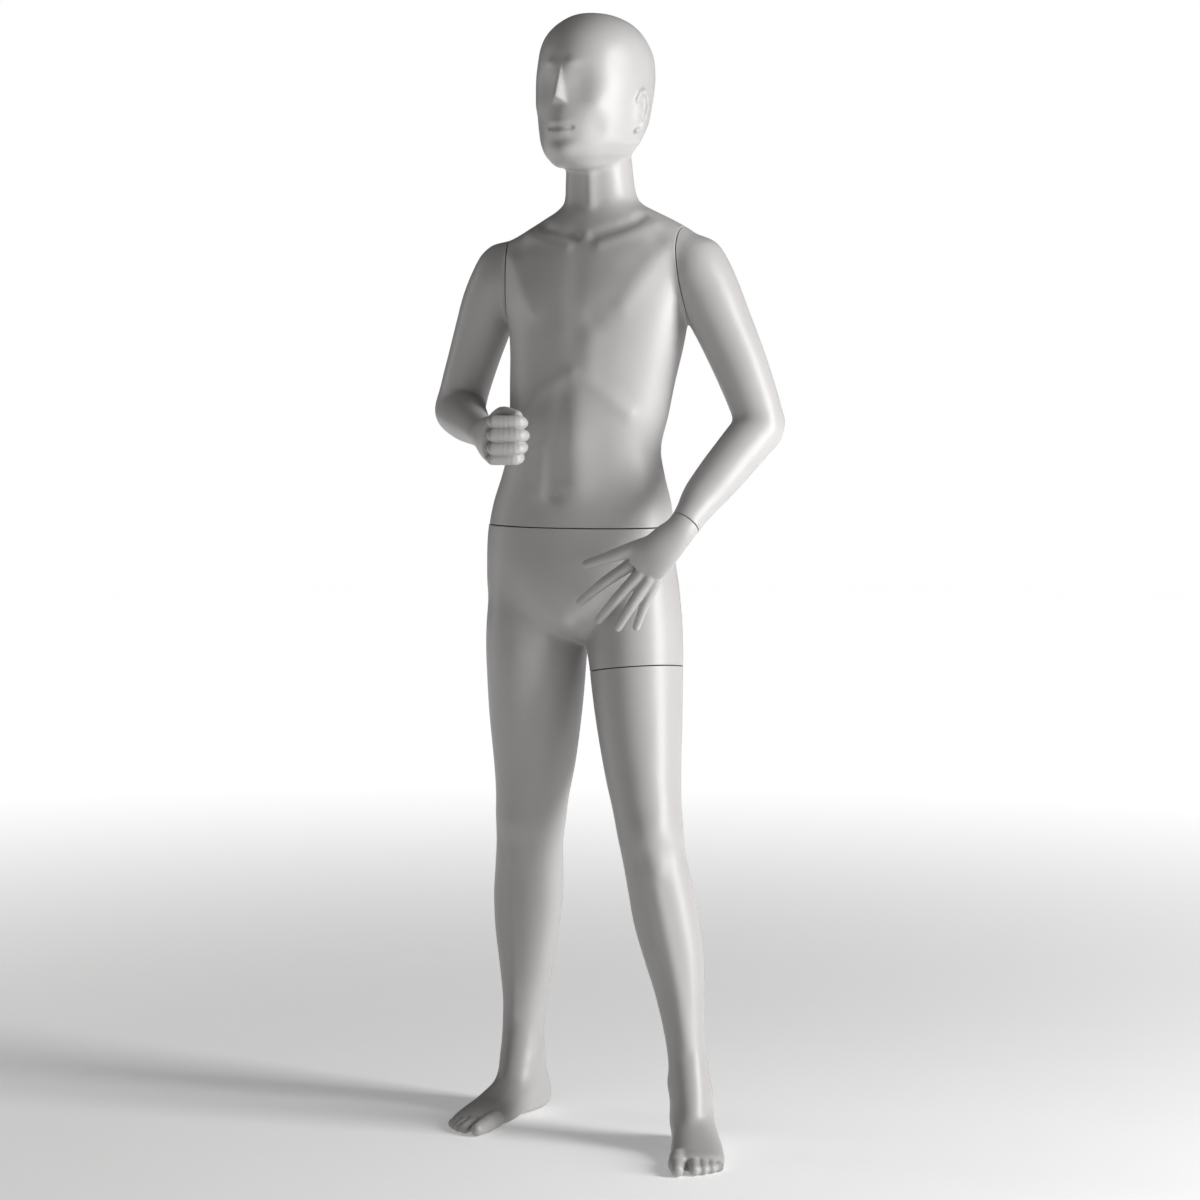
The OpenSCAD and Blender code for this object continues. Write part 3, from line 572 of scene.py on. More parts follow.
def thinned(points, quads, most):
    """Fewer triangles where the skin is plain."""
    mesh = bpy.data.meshes.new("thin")
    mesh.from_pydata(points.tolist(), [], quads.tolist())
    thing = bpy.data.objects.new("thin", mesh)
    bpy.context.scene.collection.objects.link(thing)
    if 2 * len(quads) > most:
        thing.modifiers.new("thin", "DECIMATE").ratio = most / (2 * len(quads))
    thing.modifiers.new("three", "TRIANGULATE")
    graph = bpy.context.evaluated_depsgraph_get()
    done = thing.evaluated_get(graph).to_mesh()
    out = np.empty(len(done.vertices) * 3)
    done.vertices.foreach_get("co", out)
    corners = np.empty(len(done.loops), int)
    done.loops.foreach_get("vertex_index", corners)
    bpy.data.objects.remove(thing)
    bpy.data.meshes.remove(mesh)
    return out.reshape(-1, 3), corners.reshape(-1, 3)


def zipped(a, b, pa, pb):
    """Triangles between two closed loops of points that run the same way."""
    pa, pb = pa[a], pb[b]
    turn = int(np.argmin(((pb - pa[0]) ** 2).sum(1)))
    b, pb = np.roll(b, -turn), np.roll(pb, -turn, 0)
    n, m, i, j, out = len(a), len(b), 0, 0, []
    while i < n or j < m:
        over_a = ((pa[(i + 1) % n] - pb[j % m]) ** 2).sum()
        over_b = ((pb[(j + 1) % m] - pa[i % n]) ** 2).sum()
        if j >= m or (i < n and over_a <= over_b):
            out.append((a[(i + 1) % n], a[i % n], b[j % m]))
            i += 1
        else:
            out.append((a[i % n], b[j % m], b[(j + 1) % m]))
            j += 1
    return np.array(out)


# The rounded edge at a seam: how far from the seam's face, and how far in from the skin.
LIP = ((0.5, 0.0), (0.17, 0.14), (0.0, 0.5))
POCKET_SIDES = 64


class Skin:
    """The mesh of one moulded piece, with a normal for every corner of every face."""

    def __init__(self, clay, most, inner_step, hollow=True):
        self.clay = clay
        self.inner_step = inner_step
        points, quads = clay.skin()
        points, triangles = thinned(*largest(points, quads), most)
        for _ in range(2):
            away = clay.at(points)[:, None]
            points = points - np.clip(away, -1, 1) * clay.normal(points, 0.5)
        self.outer = points, triangles
        self.inner = None
        if hollow:
            points, quads = largest(*clay.skin(-WALL, inner_step))
            quads = quads[:, ::-1]
            self.inner = points, np.concatenate([quads[:, [0, 1, 2]], quads[:, [0, 2, 3]]])
        self.marks, self.extra = [], []

    def cut(self, name, loose, pocket=None):
        """Cuts at a seam and keeps the loose or the fixed side."""
        seam = SEAMS[name]
        ways = seam_ways(seam)
        sign = 1 if loose else -1
        origin = np.array(seam[0], float) + sign * SEAM_GAP / 2 * ways[2]

        def section(mesh, lift):
            points, triangles = mesh
            local = (points - origin) @ ways.T
            middle = local[triangles].mean(1)
            within = (np.abs(middle[:, 0]) < seam[3]) & (np.abs(middle[:, 1]) < seam[4])
            return clip(points, triangles, sign * local[:, 2] - lift, within)

        points, triangles, loops = section(self.outer, LIP[0][0])
        if len(loops) != 1:
            print("seam", name, "cuts", [len(l) for l in loops])
        self.outer = points, triangles
        inner_loop = None
        if self.inner is not None and pocket is None:
            inner_points, inner_triangles, inner_loops = section(self.inner, 0.0)
            if len(inner_loops) != 1:
                print("inner seam", name, "cuts", [len(l) for l in inner_loops])
            self.inner = inner_points, inner_triangles
            inner_loop = np.array(inner_loops[0])
        self.marks.append((np.array(loops[0]), inner_loop, origin, ways, sign, pocket))

    def close(self):
        """Joins the surfaces with lips and returns points, triangles, corner normals."""
        blocks, normals, faces, flats = [], [], [], []

        def add_points(places, ways_out):
            """Adds points with their normals, and returns their numbers."""
            first = sum(map(len, blocks))
            blocks.append(places)
            normals.append(np.broadcast_to(ways_out, places.shape))
            return first + np.arange(len(places))

        def add_faces(group, flat=(0, 0, 0)):
            """Adds triangles. A flat way out takes the place of their corners' normals."""
            faces.append(group)
            flats.append(np.tile(flat, (len(group), 1)))

        points, triangles = self.outer
        add_points(points, self.clay.normal(points))
        add_faces(triangles)
        shift = 0
        if self.inner is not None:
            inner_points, inner_triangles = self.inner
            ways_in = -self.clay.normal(inner_points, self.inner_step)
            shift = add_points(inner_points, ways_in)[0]
            add_faces(inner_triangles + shift)
        for loop, inner_loop, origin, ways, sign, pocket in self.marks:
            flat = (points[loop] - origin) @ ways.T
            ahead = sum(np.roll(flat, -k, 0) - np.roll(flat, k, 0) for k in range(1, 6))
            area = np.cross(flat[:, :2], np.roll(flat[:, :2], -1, 0)).sum()
            out = unit(np.stack([ahead[:, 1], -ahead[:, 0]], 1) * np.sign(area))
            for _ in range(4):
                out = unit(out + np.roll(out, 1, 0) + np.roll(out, -1, 0))
            toward = -sign * ways[2]
            before = loop
            for lift, inset in LIP[1:]:
                place = flat.copy()
                place[:, :2] -= out * inset
                place[:, 2] = sign * lift
                share = (inset / LIP[-1][1]) ** 0.5
                bent = unit(normals[0][loop] * (1 - share) + toward * share)
                here = add_points(origin + place @ ways, bent)
                after = np.roll(before, -1)
                add_faces(np.concatenate([np.stack([after, before, here], 1),
                                          np.stack([after, here, np.roll(here, -1)], 1)]))
                before = here
            if inner_loop is not None:
                every = np.concatenate(blocks)
                add_faces(zipped(before, inner_loop[::-1] + shift, every, every), toward)
            if pocket is not None:
                radius, deep = pocket
                angle = np.linspace(0, 2 * np.pi, POCKET_SIDES, endpoint=False) * np.sign(area)
                rim = np.stack([radius * np.cos(angle), radius * np.sin(angle), 0 * angle], 1)
                deeper = np.array([0, 0, sign * deep])
                top = add_points(origin + rim @ ways, toward)
                floor = add_points(origin + (rim + deeper) @ ways, toward)
                middle = add_points((origin + deeper @ ways)[None], toward)
                every = np.concatenate(blocks)
                add_faces(zipped(before, top, every, every), toward)
                add_faces(np.concatenate([
                    np.stack([np.roll(top, -1), top, floor], 1),
                    np.stack([np.roll(top, -1), floor, np.roll(floor, -1)], 1)]))
                add_faces(np.stack([np.roll(floor, -1), floor,
                                    np.repeat(middle, POCKET_SIDES)], 1), toward)
        triangles = np.concatenate(faces)
        corner = np.concatenate(normals)[triangles]
        flats = np.concatenate(flats)
        is_flat = flats.any(1)
        corner[is_flat] = flats[is_flat][:, None, :]
        used, place = np.unique(triangles, return_inverse=True)
        return np.concatenate(blocks)[used], place.reshape(-1, 3), corner


def add_object(name, data):
    """A new object in the scene."""
    thing = bpy.data.objects.new(name, data)
    bpy.context.scene.collection.objects.link(thing)
    return thing


def make_piece(name, skin, body, node):
    """Puts a skin in the scene, on its body, in the place of its CAD node."""
    points, triangles, corner = skin.close()
    mesh = bpy.data.meshes.new(name)
    mesh.vertices.add(len(points))
    mesh.vertices.foreach_set("co", (points * MM).ravel())
    mesh.loops.add(3 * len(triangles))
    mesh.loops.foreach_set("vertex_index", triangles.ravel())
    mesh.polygons.add(len(triangles))
    mesh.polygons.foreach_set("loop_start", np.arange(len(triangles)) * 3)
    mesh.update(calc_edges=True)
    mesh.polygons.foreach_set("use_smooth", np.ones(len(triangles), bool))
    mesh.validate()
    if len(mesh.loops) == 3 * len(triangles):
        mesh.normals_split_custom_set(corner.reshape(-1, 3).tolist())
    else:
        print(name, "lost faces", len(triangles) - len(mesh.loops) // 3)
    thing = add_object(name, mesh)
    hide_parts(node)
    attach(thing, body)
    mesh.materials.append(MATERIALS["shell"])


# ---- materials ----


def add_node(tree, kind, **values):
    """A new shader node, with values for some of its inputs."""
    node = tree.nodes.new("ShaderNode" + kind)
    for socket, value in values.items():
        node.inputs[socket.replace("_", " ")].default_value = value
    return node


def material(name, colour, roughness, metallic=0.0, grain=900.0, grain_depth=0.00004,
             mottle=0.04, spread=0.05, stretch=(1, 1, 1)):
    """A moulded or metal finish: mottled colour, uneven gloss and a fine grained surface."""
    mat = bpy.data.materials.new(name)
    mat.use_nodes = True
    tree, links = mat.node_tree, mat.node_tree.links
    shader = tree.nodes["Principled BSDF"]
    shader.inputs["Metallic"].default_value = metallic
    place = add_node(tree, "TexCoord")
    scaled = add_node(tree, "Mapping", Scale=stretch)
    links.new(place.outputs["Object"], scaled.inputs["Vector"])

    def noise(scale, detail):
        node = add_node(tree, "TexNoise", Scale=scale, Detail=detail, Roughness=0.55)
        links.new(scaled.outputs["Vector"], node.inputs["Vector"])
        return node.outputs["Fac"]

    broad, fine = noise(9.0, 3.0), noise(grain, 2.0)
    ramp = add_node(tree, "ValToRGB")
    for end, position, shade in ((0, 0.3, 1 - mottle), (1, 0.7, 1 + mottle)):
        ramp.color_ramp.elements[end].position = position
        ramp.color_ramp.elements[end].color = (*[min(1, c * shade) for c in colour], 1)
    links.new(broad, ramp.inputs["Fac"])
    links.new(ramp.outputs["Color"], shader.inputs["Base Color"])
    gloss = add_node(tree, "MapRange", To_Min=roughness - spread, To_Max=roughness + spread)
    both = add_node(tree, "Math")
    both.operation = "MULTIPLY_ADD"
    both.inputs[1].default_value = 0.5
    links.new(noise(60.0, 4.0), both.inputs[0])
    half = add_node(tree, "Math")
    half.operation = "MULTIPLY"
    half.inputs[1].default_value = 0.5
    links.new(broad, half.inputs[0])
    links.new(half.outputs[0], both.inputs[2])
    links.new(both.outputs[0], gloss.inputs["Value"])
    links.new(gloss.outputs["Result"], shader.inputs["Roughness"])
    bump = add_node(tree, "Bump", Strength=0.6, Distance=grain_depth)
    links.new(fine, bump.inputs["Height"])
    links.new(bump.outputs["Normal"], shader.inputs["Normal"])
    return mat


MATERIALS = {
    "shell": material("satin_grey_shell", (0.40, 0.39, 0.385), 0.42, grain=1100.0,
                      grain_depth=0.00003, mottle=0.015, spread=0.05),
    "plate": material("dark_grey_board", (0.075, 0.075, 0.08), 0.62, grain=420.0,
                      grain_depth=0.00012, mottle=0.18, spread=0.08),
    "socket": material("black_nylon", (0.022, 0.022, 0.024), 0.48, grain=700.0,
                       grain_depth=0.00006, mottle=0.1, spread=0.08),
    "steel": material("turned_steel", (0.56, 0.565, 0.58), 0.28, metallic=1.0, grain=260.0,
                      grain_depth=0.00003, mottle=0.05, spread=0.09, stretch=(1, 1, 6)),
    "screw": material("zinc_screws", (0.62, 0.60, 0.56), 0.34, metallic=1.0, grain=900.0,
                      grain_depth=0.00003, mottle=0.08, spread=0.1),
    "brass": material("brass_ring", (0.70, 0.50, 0.22), 0.30, metallic=1.0, grain=500.0,
                      grain_depth=0.00003, mottle=0.09, spread=0.1),
    "magnet": material("nickel_magnet", (0.66, 0.65, 0.62), 0.16, metallic=1.0, grain=800.0,
                       grain_depth=0.00002, mottle=0.04, spread=0.06),
    "floor": material("pale_glowing_floor", (0.86, 0.86, 0.86), 0.7, grain=300.0, grain_depth=0.00002,
                      mottle=0.008, spread=0.04),
}
NODE_FINISH = {
    "_plate": "plate", "_socket": "socket", "_hub": "steel", "_peg": "steel", "_ring": "brass",
    "_magnet": "magnet", "_screws": "screw", "foot_socket_tube": "steel",
}
for node_name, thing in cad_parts.items():
    for ending, finish in NODE_FINISH.items():
        if node_name.endswith(ending):
            thing.data.materials.clear()
            thing.data.materials.append(MATERIALS[finish])


# ---- the figure ----

ALONG_X = (1, 0, 0)


def on(rows, side_way, s, angle):
    """A point on a loft: s counts rows, angle is 0 at its side, 90 in front, -90 behind."""
    row, u, v = (found[0] for found in ways_at(rows, side_way, np.array([float(s)])))
    c, d = math.cos(math.radians(angle)), math.sin(math.radians(angle))
    depth = row[4] if d > 0 else row[5]
    return row[:3] + u * row[3] * c + v * depth * d


def line_on(rows, side_way, places):
    """A line over a loft."""
    return [on(rows, side_way, s, angle) for s, angle in places]


def across(places):
    """The same places on the figure's other side."""
    return [(s, 180 - angle) for s, angle in places]


# Trunk details: (places as rows and angles, width, height, on both sides).
TRUNK_LINES = [
    # throat, and the flat panels beside it
    ([(0.2, 90), (1, 89), (2, 88), (3.6, 88)], 7, 3.0, False),
    ([(0.4, 64), (1.6, 66), (3.2, 70)], 10, -0.7, False),
    ([(0.4, 116), (1.6, 114), (3.2, 110)], 10, -1.4, False),
    # collarbones and the hollows over them
    ([(7.5, 80), (7.0, 64), (6.5, 50), (6.2, 38)], 8, 2.0, True),
    ([(6.8, 84), (6.3, 68), (5.8, 52), (5.35, 38)], 7, -3.4, True),
    # crest of the chest
    ([(7.9, 38), (8.8, 48), (9.6, 54), (10.5, 61)], 13, 2.5, True),
    ([(11.4, 80), (12.0, 80), (12.5, 80)], 14, 1.4, False),
    # breastbone
    ([(8.4, 91), (9.8, 91), (11.4, 91)], 14, -0.9, False),
    # edge of the ribs
    ([(12.7, 88), (13.0, 76), (13.4, 62), (13.9, 47)], 11, (1.4, 2.2), True),
    # long dent over the navel
    ([(13.2, 95), (14, 96), (15, 96), (16, 96), (16.6, 96)], (10, 13), (-1.0, -4.5), False),
    ([(13.2, 86), (14, 84.5), (15, 81.5), (16.2, 80)], 20, (1.6, 4.0), False),
    ([(15.0, 110), (15.8, 108), (16.5, 107)], 10, 1.6, False),
    # groins
    ([(19.4, 54), (20.0, 62), (20.7, 70), (21.4, 79)], 11, (-0.4, -2.0), True),
    # spine
    ([(4.5, -90), (7, -90), (10, -90), (14, -90), (17.6, -90)], 12, -2.4, False),
    # cleft
    ([(19.3, -90), (20.3, -90), (21.4, -90), (22.4, -90)], (7, 8), (-1.2, -9.0), False),
]
# Trunk swellings and hollows: (row, angle, radii, height, on both sides).
TRUNK_BUMPS = [
    (6.4, 100, (9, 8, 8), -3.0, False),
    (9.7, 60, (38, 20, 32), 2.4, True),
    (10.9, 80, (15, 10, 17), -1.8, False),
    (7.5, 42, (15, 13, 15), -2.4, True),
    (14.8, 66, (26, 18, 24), -1.8, True),
    (19.4, 92, (44, 16, 30), 1.4, False),
    (21.3, 93, (20, 14, 17), 3.0, False),
    (8.8, -58, (28, 14, 36), 2.6, True),
    (20.3, -60, (38, 24, 36), 4.0, True),
]

# What rounds off the tops of the shoulders, on both sides of their seams: swellings, and
# places that are smoothed after them.
SHOULDER_CAPS = [((126, 62, 1118), (30, 26, 20), 1.6), ((-130, 62, 1106), (26, 22, 15), 6.0)]
SHOULDER_TOPS = [(136, 60, 1114), (-146, 60, 1098)]
# Where the thighs touch, as the point, the radii, the swelling and the ways they lie.
THIGHS_TOUCH = ((-17, 52, 614), (10, 46, 17), 3.2,
                np.array([[0.94, 0.342, 0], [0.342, -0.94, 0], [0, 0, 1]]))
# Where the hips are smoothed.
HIPS = [(-148, 50, 666), (98, 50, 666)]


def shape_trunk(clay, first, last):
    clay.press(loft(TRUNK_ROWS, ALONG_X, first, last, sides=144))


def detail_trunk(clay, first, last):
    """Adds the trunk's details between two rows."""
    for places, width, height, both in TRUNK_LINES:
        if places[-1][0] < first or places[0][0] > last:
            continue
        for side in ([places, across(places)] if both else [places]):
            clay.ridge(line_on(TRUNK_ROWS, ALONG_X, side), width, height)
    for s, angle, radii, height, both in TRUNK_BUMPS:
        if first <= s <= last:
            for a in ([angle, 180 - angle] if both else [angle]):
                clay.bump(on(TRUNK_ROWS, ALONG_X, s, a), radii, height)
    if first < 9:
        for cap in SHOULDER_CAPS:
            clay.bump(*cap)
        for top in SHOULDER_TOPS:
            clay.soften(top, 46, 5.5)


# ---- head ----

HEAD_AXIS = np.array([-7.0, 53.0, 0.0])
HEAD_SIDE = np.array(side_of(HEAD_TURN))
HEAD_AHEAD = np.array([HEAD_SIDE[1], -HEAD_SIDE[0], 0.0])
HEAD_WAYS = np.array([HEAD_SIDE, HEAD_AHEAD, [0, 0, 1]])


def on_head(side, ahead, z):
    """A point in the head's own frame, which turns with the face."""
    return HEAD_AXIS + side * HEAD_SIDE + ahead * HEAD_AHEAD + np.array([0, 0, z])


def head_line(points):
    return [on_head(*p) for p in points]


def shape_head(clay):
    clay.press(loft(HEAD_ROWS, HEAD_SIDE, sides=144), 9)
    for e in (-1, 1):
        bumps = [
            ((e * 20, 89, 1331), (17, 10, 6), 3.0),  # brow
            ((e * 27, 86, 1305), (18, 15, 19), -9.5),  # eye hollow
            ((e * 41, 72, 1280), (15, 14, 12), 2.0),  # cheekbone
            ((e * 40, 66, 1250), (14, 14, 16), -1.8),  # under the cheek
            ((e * 58, 40, 1332), (12, 22, 18), -1.2),  # temple
            ((e * 52, 20, 1232), (14, 22, 12), 1.4),  # jaw corner
        ]
        for point, radii, height in bumps:
            clay.bump(on_head(*point), radii, height, HEAD_WAYS)
    for point, radii, height in [
        ((0, 82, 1334), (10, 10, 8), -1.6),  # over the nose
        ((0, 91, 1259), (17, 9, 5.4), 2.6),  # upper lip
        ((0, 89, 1246), (13, 8, 4.4), 2.8),  # lower lip
        ((0, 76, 1210), (26, 20, 11), -5.0),  # under the chin
        ((0, 85, 1236), (16, 9, 5), -1.5),  # under the lip
        ((0, 83, 1222), (16, 13, 10), 3.4),  # chin
        ((0, 88, 1268), (9, 8, 6), 1.2),  # between the nose and the lip
    ]:
        clay.bump(on_head(*point), radii, height, HEAD_WAYS)
    clay.ridge(head_line([(-15, 84, 1251.5), (-7, 90, 1252.5), (0, 92, 1252), (7, 90, 1252.5),
                          (15, 84, 1251.5)]), 2.0, -2.8)
    top, tip = on_head(0, 86, 1331), on_head(0, 101, 1290)
    wings = [on_head(s, 79, 1275) for s in (-17, 17)]
    clay.wedge([top, tip, *wings], [(top, tip, wings[0]), (top, tip, wings[1]), (tip, *wings)],
               4.5, 3.5)
    for e in (-1, 1):
        clay.bump(on_head(e * 64, 2, 1272), (9, 12, 22), 4.8, HEAD_WAYS)
        clay.ridge(head_line([(e * 66, 11, 1286), (e * 67, 6, 1295), (e * 68, -3, 1298),
                              (e * 68, -11, 1291), (e * 68, -12, 1278), (e * 66, -7, 1263),
                              (e * 64, 1, 1251), (e * 63, 8, 1249)]), 3.2, (4.8, 6.0))
        clay.ridge(head_line([(e * 69, -1, 1289), (e * 69, -4, 1278), (e * 69, -1, 1266)]),
                   3.6, -7.0)


# ---- legs and feet ----


def shape_foot(clay, heel, turn, flip):
    def there(point):
        x, y, z = point
        return turned((-x if flip else x, y, z), turn, heel)

    points, triangles = loft(FOOT_ROWS, ALONG_X, sides=96, power=0.85)
    if flip:
        points[:, 0] *= -1
        triangles = triangles[:, ::-1]
    c, s = math.cos(math.radians(turn)), math.sin(math.radians(turn))
    spin = np.array([[c, -s, 0], [s, c, 0], [0, 0, 1]])
    clay.press((points @ spin.T + np.array(heel), triangles), 14)
    for number, toe in enumerate(FOOT_TOES):
        clay.rod([(there(p), r) for p, r in toe], 4.5 if number == 0 else 3.0, own=3.0)
    nail = [(-22, -193, 15), (-22, -186, 17)]
    clay.ridge([there(p) for p in nail], 4.5, 0.8)
    # hollow between the great toe and the next, and the arch
    clay.ridge([there(p) for p in [(-12, -172, 14), (-12, -190, 10)]], 3.0, -3.0)
    clay.bump(there((-24, -70, 12)), (10, 34, 14), -3.0, [unit(turned((1, 0, 0), turn, (0, 0, 0))),
              unit(turned((0, 1, 0), turn, (0, 0, 0))), (0, 0, 1)])
    clay.soften(there(FOOT_ROWS[0][:3]), 36, 6)
    low = np.array(heel) - [110, 260, 40]
    high = np.array(heel) + [110, 60, 40]
    clay.shave(low, high, (0, 0, 0), (0, 0, -1), 2.0)


def detail_leg(clay, rows, turn, inner_angle):
    side = side_of(turn)
    ways = np.array([side, [side[1], -side[0], 0], [0, 0, 1]])
    outer_angle = 180 - inner_angle
    toward = 1 if inner_angle > 90 else -1
    for s, angle, radii, height in [
        (9.0, 90, (19, 14, 20), 2.6),
        (9.9, 90 + 26 * toward, (11, 12, 16), -1.8),
        (9.9, 90 - 26 * toward, (11, 12, 16), -1.6),
        (10.4, 90, (9, 9, 13), 1.8),
        (7.6, 90, (26, 14, 34), 1.4),
        (9.3, -90, (15, 12, 26), -3.0),
        (17.1, inner_angle + 6 * toward, (12, 12, 13), 2.6),
        (17.5, outer_angle + 10 * toward, (11, 11, 12), 2.4),
        (16.7, -48, (10, 10, 22), -3.0),
        (16.7, -132, (10, 10, 22), -3.0),
    ]:
        clay.bump(on(rows, side, s, angle), radii, height, ways)
    clay.ridge(line_on(rows, side, [(11, 96), (12.5, 95), (14, 94), (15.6, 92)]), 8, 1.6)
    clay.ridge(line_on(rows, side, [(10.2, -90), (11.6, -90), (13, -90)]), 8, -1.0)


# ---- arms and hands ----


def knuckle(clay, links, blend, back):
    """A finger with its joints thickened a little and a nail pressed on its back."""
    points = np.array([p for p, _ in links], float)
    radii = np.array([r for _, r in links], float)
    fine = row_at(np.column_stack([points, radii]), np.linspace(0, len(links) - 1, 13))
    clay.rod([(row[:3], row[3]) for row in fine], blend, own=1.0)
    for k in range(1, len(links) - 1):
        clay.bump(points[k] + back * radii[k] * 0.5, (radii[k],) * 3, 0.5)
    tip, before = points[-1], points[-2]
    way = unit(tip - before)
    nail = tip + back * radii[-1] * 0.9
    clay.ridge([nail - way * 3, nail + way * 3], radii[-1] * 0.62, 0.45)


def build_upper_body():
    clay = Clay((-270, -90, 740), (250, 170, 1402), voxel=1.6)
    shape_trunk(clay, 0, 19)
    clay.press(loft(LEFT_UPPER_ARM_ROWS, ALONG_X, 0, 5), 13)
    clay.press(loft(RIGHT_UPPER_ARM_ROWS, ALONG_X, 0, 5), 13)
    shape_head(clay)
    clay.soften(on_head(0, 0, 1392), 48, 5)
    detail_trunk(clay, 0, 19)
    skin = Skin(clay, most=158000, inner_step=4)
    skin.cut("waist", True)
    skin.cut("left_shoulder", False)
    skin.cut("right_shoulder", False)
    make_piece("upper_body_skin", skin, "upper_body", "upper_body_shell")


def build_lower_body():
    box = (-205, -110, -6), (135, 195, 792)
    clay, other = Clay(*box, voxel=1.7), Clay(*box, voxel=1.7)
    shape_trunk(clay, 15, 24)
    other.d[:] = clay.d
    clay.press(loft(LEFT_LEG_ROWS, side_of(LEFT_LEG_TURN), 0, 6), 12)
    other.press(loft(RIGHT_LEG_ROWS, side_of(RIGHT_LEG_TURN)), 12)
    shape_foot(other, RIGHT_HEEL, RIGHT_LEG_TURN, True)
    detail_leg(other, RIGHT_LEG_ROWS, RIGHT_LEG_TURN, 0)
    clay.d = blended(clay.d, other.d, 4.0)
    detail_trunk(clay, 15.01, 24)
    clay.bump(*THIGHS_TOUCH)
    for hip in HIPS:
        clay.soften(hip, 48, 6)
    clay.bore(RIGHT_LEG_ROWS[19], radius=7.8, depth=52)
    skin = Skin(clay, most=158000, inner_step=4)
    skin.cut("waist", False)
    skin.cut("left_thigh", False)
    make_piece("lower_body_skin", skin, "lower_body", "lower_body_shell")


def build_left_leg():
    clay = Clay((-30, -190, -6), (215, 150, 640), voxel=1.6)
    clay.press(loft(LEFT_LEG_ROWS, side_of(LEFT_LEG_TURN), 3, 20))
    shape_foot(clay, LEFT_HEEL, LEFT_LEG_TURN, False)
    detail_leg(clay, LEFT_LEG_ROWS, LEFT_LEG_TURN, 180)
    skin = Skin(clay, most=120000, inner_step=4)
    skin.cut("left_thigh", True)
    make_piece("left_leg_skin", skin, "left_leg", "left_leg_shell")


def build_arm(side, low, high, upper, fore, hand_way):
    clay = Clay(low, high, voxel=1.5)
    shape_trunk(clay, 5, 11)
    clay.press(loft(upper, ALONG_X), 13)
    clay.press(loft(fore, hand_way, 0, 9), 12)
    detail_trunk(clay, 5, 11)
    skin = Skin(clay, most=70000, inner_step=3)
    skin.cut(side + "_shoulder", True)
    skin.cut(side + "_wrist", False)
    make_piece(side + "_arm_skin", skin, side + "_arm", side + "_arm_shell")


POCKET = (11.9, 2.3)  # radius and depth


def build_hand(side, clay):
    """Closes a shaped hand at its wrist, with a round pocket for the fitting."""
    skin = Skin(clay, most=60000, inner_step=1, hollow=False)
    skin.cut(side + "_wrist", True, POCKET)
    make_piece(side + "_hand_skin", skin, side + "_hand_body", side + "_hand")


build_upper_body()
build_lower_body()
build_left_leg()
build_arm("left", (-150, -80, 740), (255, 150, 1175), LEFT_UPPER_ARM_ROWS, LEFT_FOREARM_ROWS,
          LEFT_HAND_WAY)
build_arm("right", (-260, -130, 840), (140, 150, 1175), RIGHT_UPPER_ARM_ROWS,
          RIGHT_FOREARM_ROWS, RIGHT_HAND_WAY)

left_hand = Clay((-18, -90, 620), (190, 0, 830), voxel=0.8)
left_hand.press(loft(LEFT_FOREARM_ROWS, LEFT_HAND_WAY, 6, 13))
back = unit(np.cross((0.55, -0.1, 0.83), LEFT_HAND_WAY))
for number, links in enumerate(LEFT_FINGERS):
    knuckle(left_hand, links, 5.0 if number < 4 else 7.0, back * np.sign(-back[1]))
build_hand("left", left_hand)

right_hand = Clay((-165, -150, 835), (-25, -20, 935), voxel=0.7)
right_hand.press(loft(RIGHT_FOREARM_ROWS, RIGHT_HAND_WAY, 6, 11))
for links in RIGHT_FINGERS:
    knuckle(right_hand, links, 3.0, np.array([0, -1, 0]))
build_hand("right", right_hand)


# ---- camera, floor and light ----

TARGET = Vector((-0.003, 0.058, 0.669))
AZIMUTH, ELEVATION, DISTANCE = 20.0, 4.7, 4.515


def facing(location, target):
    return (location - target).to_track_quat("Z", "Y").to_euler()


def from_camera(right, up, back):
    """A place given from the target: to the camera's right, up, and towards the camera."""
    az = math.radians(AZIMUTH)
    across_view = Vector((math.cos(az), math.sin(az), 0))
    toward = Vector((math.sin(az), -math.cos(az), 0))
    return TARGET + right * across_view + Vector((0, 0, up)) + back * toward


camera = add_object("camera", bpy.data.cameras.new("camera"))
el = math.radians(ELEVATION)
camera.location = from_camera(0, DISTANCE * math.sin(el), DISTANCE * math.cos(el))
camera.rotation_euler = facing(camera.location, TARGET)
camera.data.lens = 108.36
camera.data.sensor_width = 36
bpy.context.scene.camera = camera


def softbox(name, place, size, watts, tint=(1, 1, 1)):
    light = bpy.data.lights.new(name, "AREA")
    light.shape = "RECTANGLE"
    light.size, light.size_y = size
    light.energy = watts
    light.color = tint
    thing = add_object(name, light)
    thing.location = from_camera(*place)
    thing.rotation_euler = facing(thing.location, TARGET + Vector((0, 0, 0.05)))


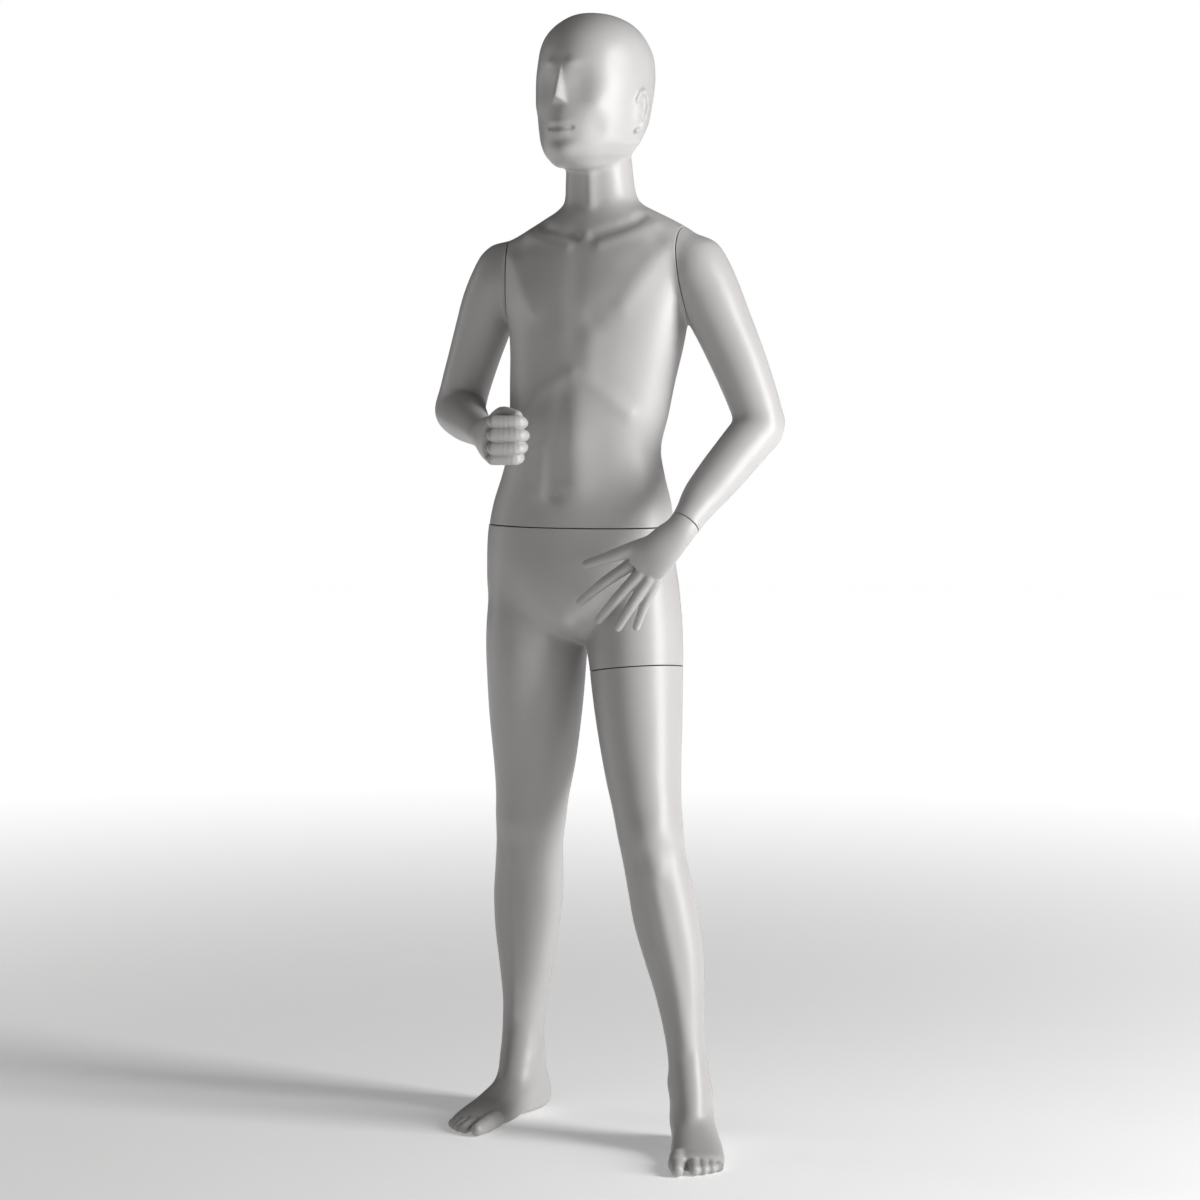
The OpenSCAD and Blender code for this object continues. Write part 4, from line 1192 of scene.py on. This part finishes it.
softbox("key", (2.77, 0.7, 1.35), (0.9, 2.4), 138)
softbox("front_fill", (-1.2, 0.9, 3.2), (2.0, 2.4), 5, (1.0, 0.97, 0.95))
softbox("left_rim", (-2.6, 0.7, -1.0), (0.8, 2.4), 10, (1.0, 0.97, 0.95))
softbox("top", (0.4, 2.6, 0.2), (2.0, 2.0), 8)

FLOOR_RADIUS = 9.0
rings, spokes = 40, 96
points = [(0.0, 0.0, 0.0)]
for i in range(1, rings + 1):
    r = FLOOR_RADIUS * (i / rings) ** 1.6
    points += [(r * math.cos(2 * math.pi * k / spokes), r * math.sin(2 * math.pi * k / spokes), 0.0)
               for k in range(spokes)]
faces = [(0, 1 + k, 1 + (k + 1) % spokes) for k in range(spokes)]
for i in range(rings - 1):
    a, b = 1 + i * spokes, 1 + (i + 1) * spokes
    faces += [(a + k, b + k, b + (k + 1) % spokes, a + (k + 1) % spokes) for k in range(spokes)]
mesh = bpy.data.meshes.new("floor")
mesh.from_pydata(points, [], faces)
floor = add_object("floor", mesh)
mesh.materials.append(MATERIALS["floor"])
# Painted light: the floor glows, weakly near the figure and near white further out, and this glow
# also lights the figure from below.
tree = MATERIALS["floor"].node_tree
place = add_node(tree, "TexCoord")
far = add_node(tree, "VectorMath")
far.operation = "LENGTH"
glow = add_node(tree, "MapRange", From_Min=0.6, From_Max=4.0, To_Min=0.22, To_Max=0.95)
glow.interpolation_type = "SMOOTHSTEP"
tree.links.new(place.outputs["Object"], far.inputs[0])
tree.links.new(far.outputs["Value"], glow.inputs["Value"])
tree.links.new(glow.outputs["Result"], tree.nodes["Principled BSDF"].inputs["Emission Strength"])
tree.nodes["Principled BSDF"].inputs["Emission Color"].default_value = (1, 1, 1, 1)

world = bpy.data.worlds.new("studio")
bpy.context.scene.world = world
world.use_nodes = True
tree = world.node_tree
sky = tree.nodes["Background"]
sky.inputs["Color"].default_value = (1, 1, 1, 1)
sky.inputs["Strength"].default_value = 0.04
seen = add_node(tree, "Background", Strength=1.0, Color=(1, 1, 1, 1))
path, both = add_node(tree, "LightPath"), add_node(tree, "MixShader")
tree.links.new(path.outputs["Is Camera Ray"], both.inputs["Fac"])
tree.links.new(sky.outputs[0], both.inputs[1])
tree.links.new(seen.outputs[0], both.inputs[2])
tree.links.new(both.outputs[0], tree.nodes["World Output"].inputs["Surface"])
bpy.context.scene.view_settings.view_transform = "Standard"
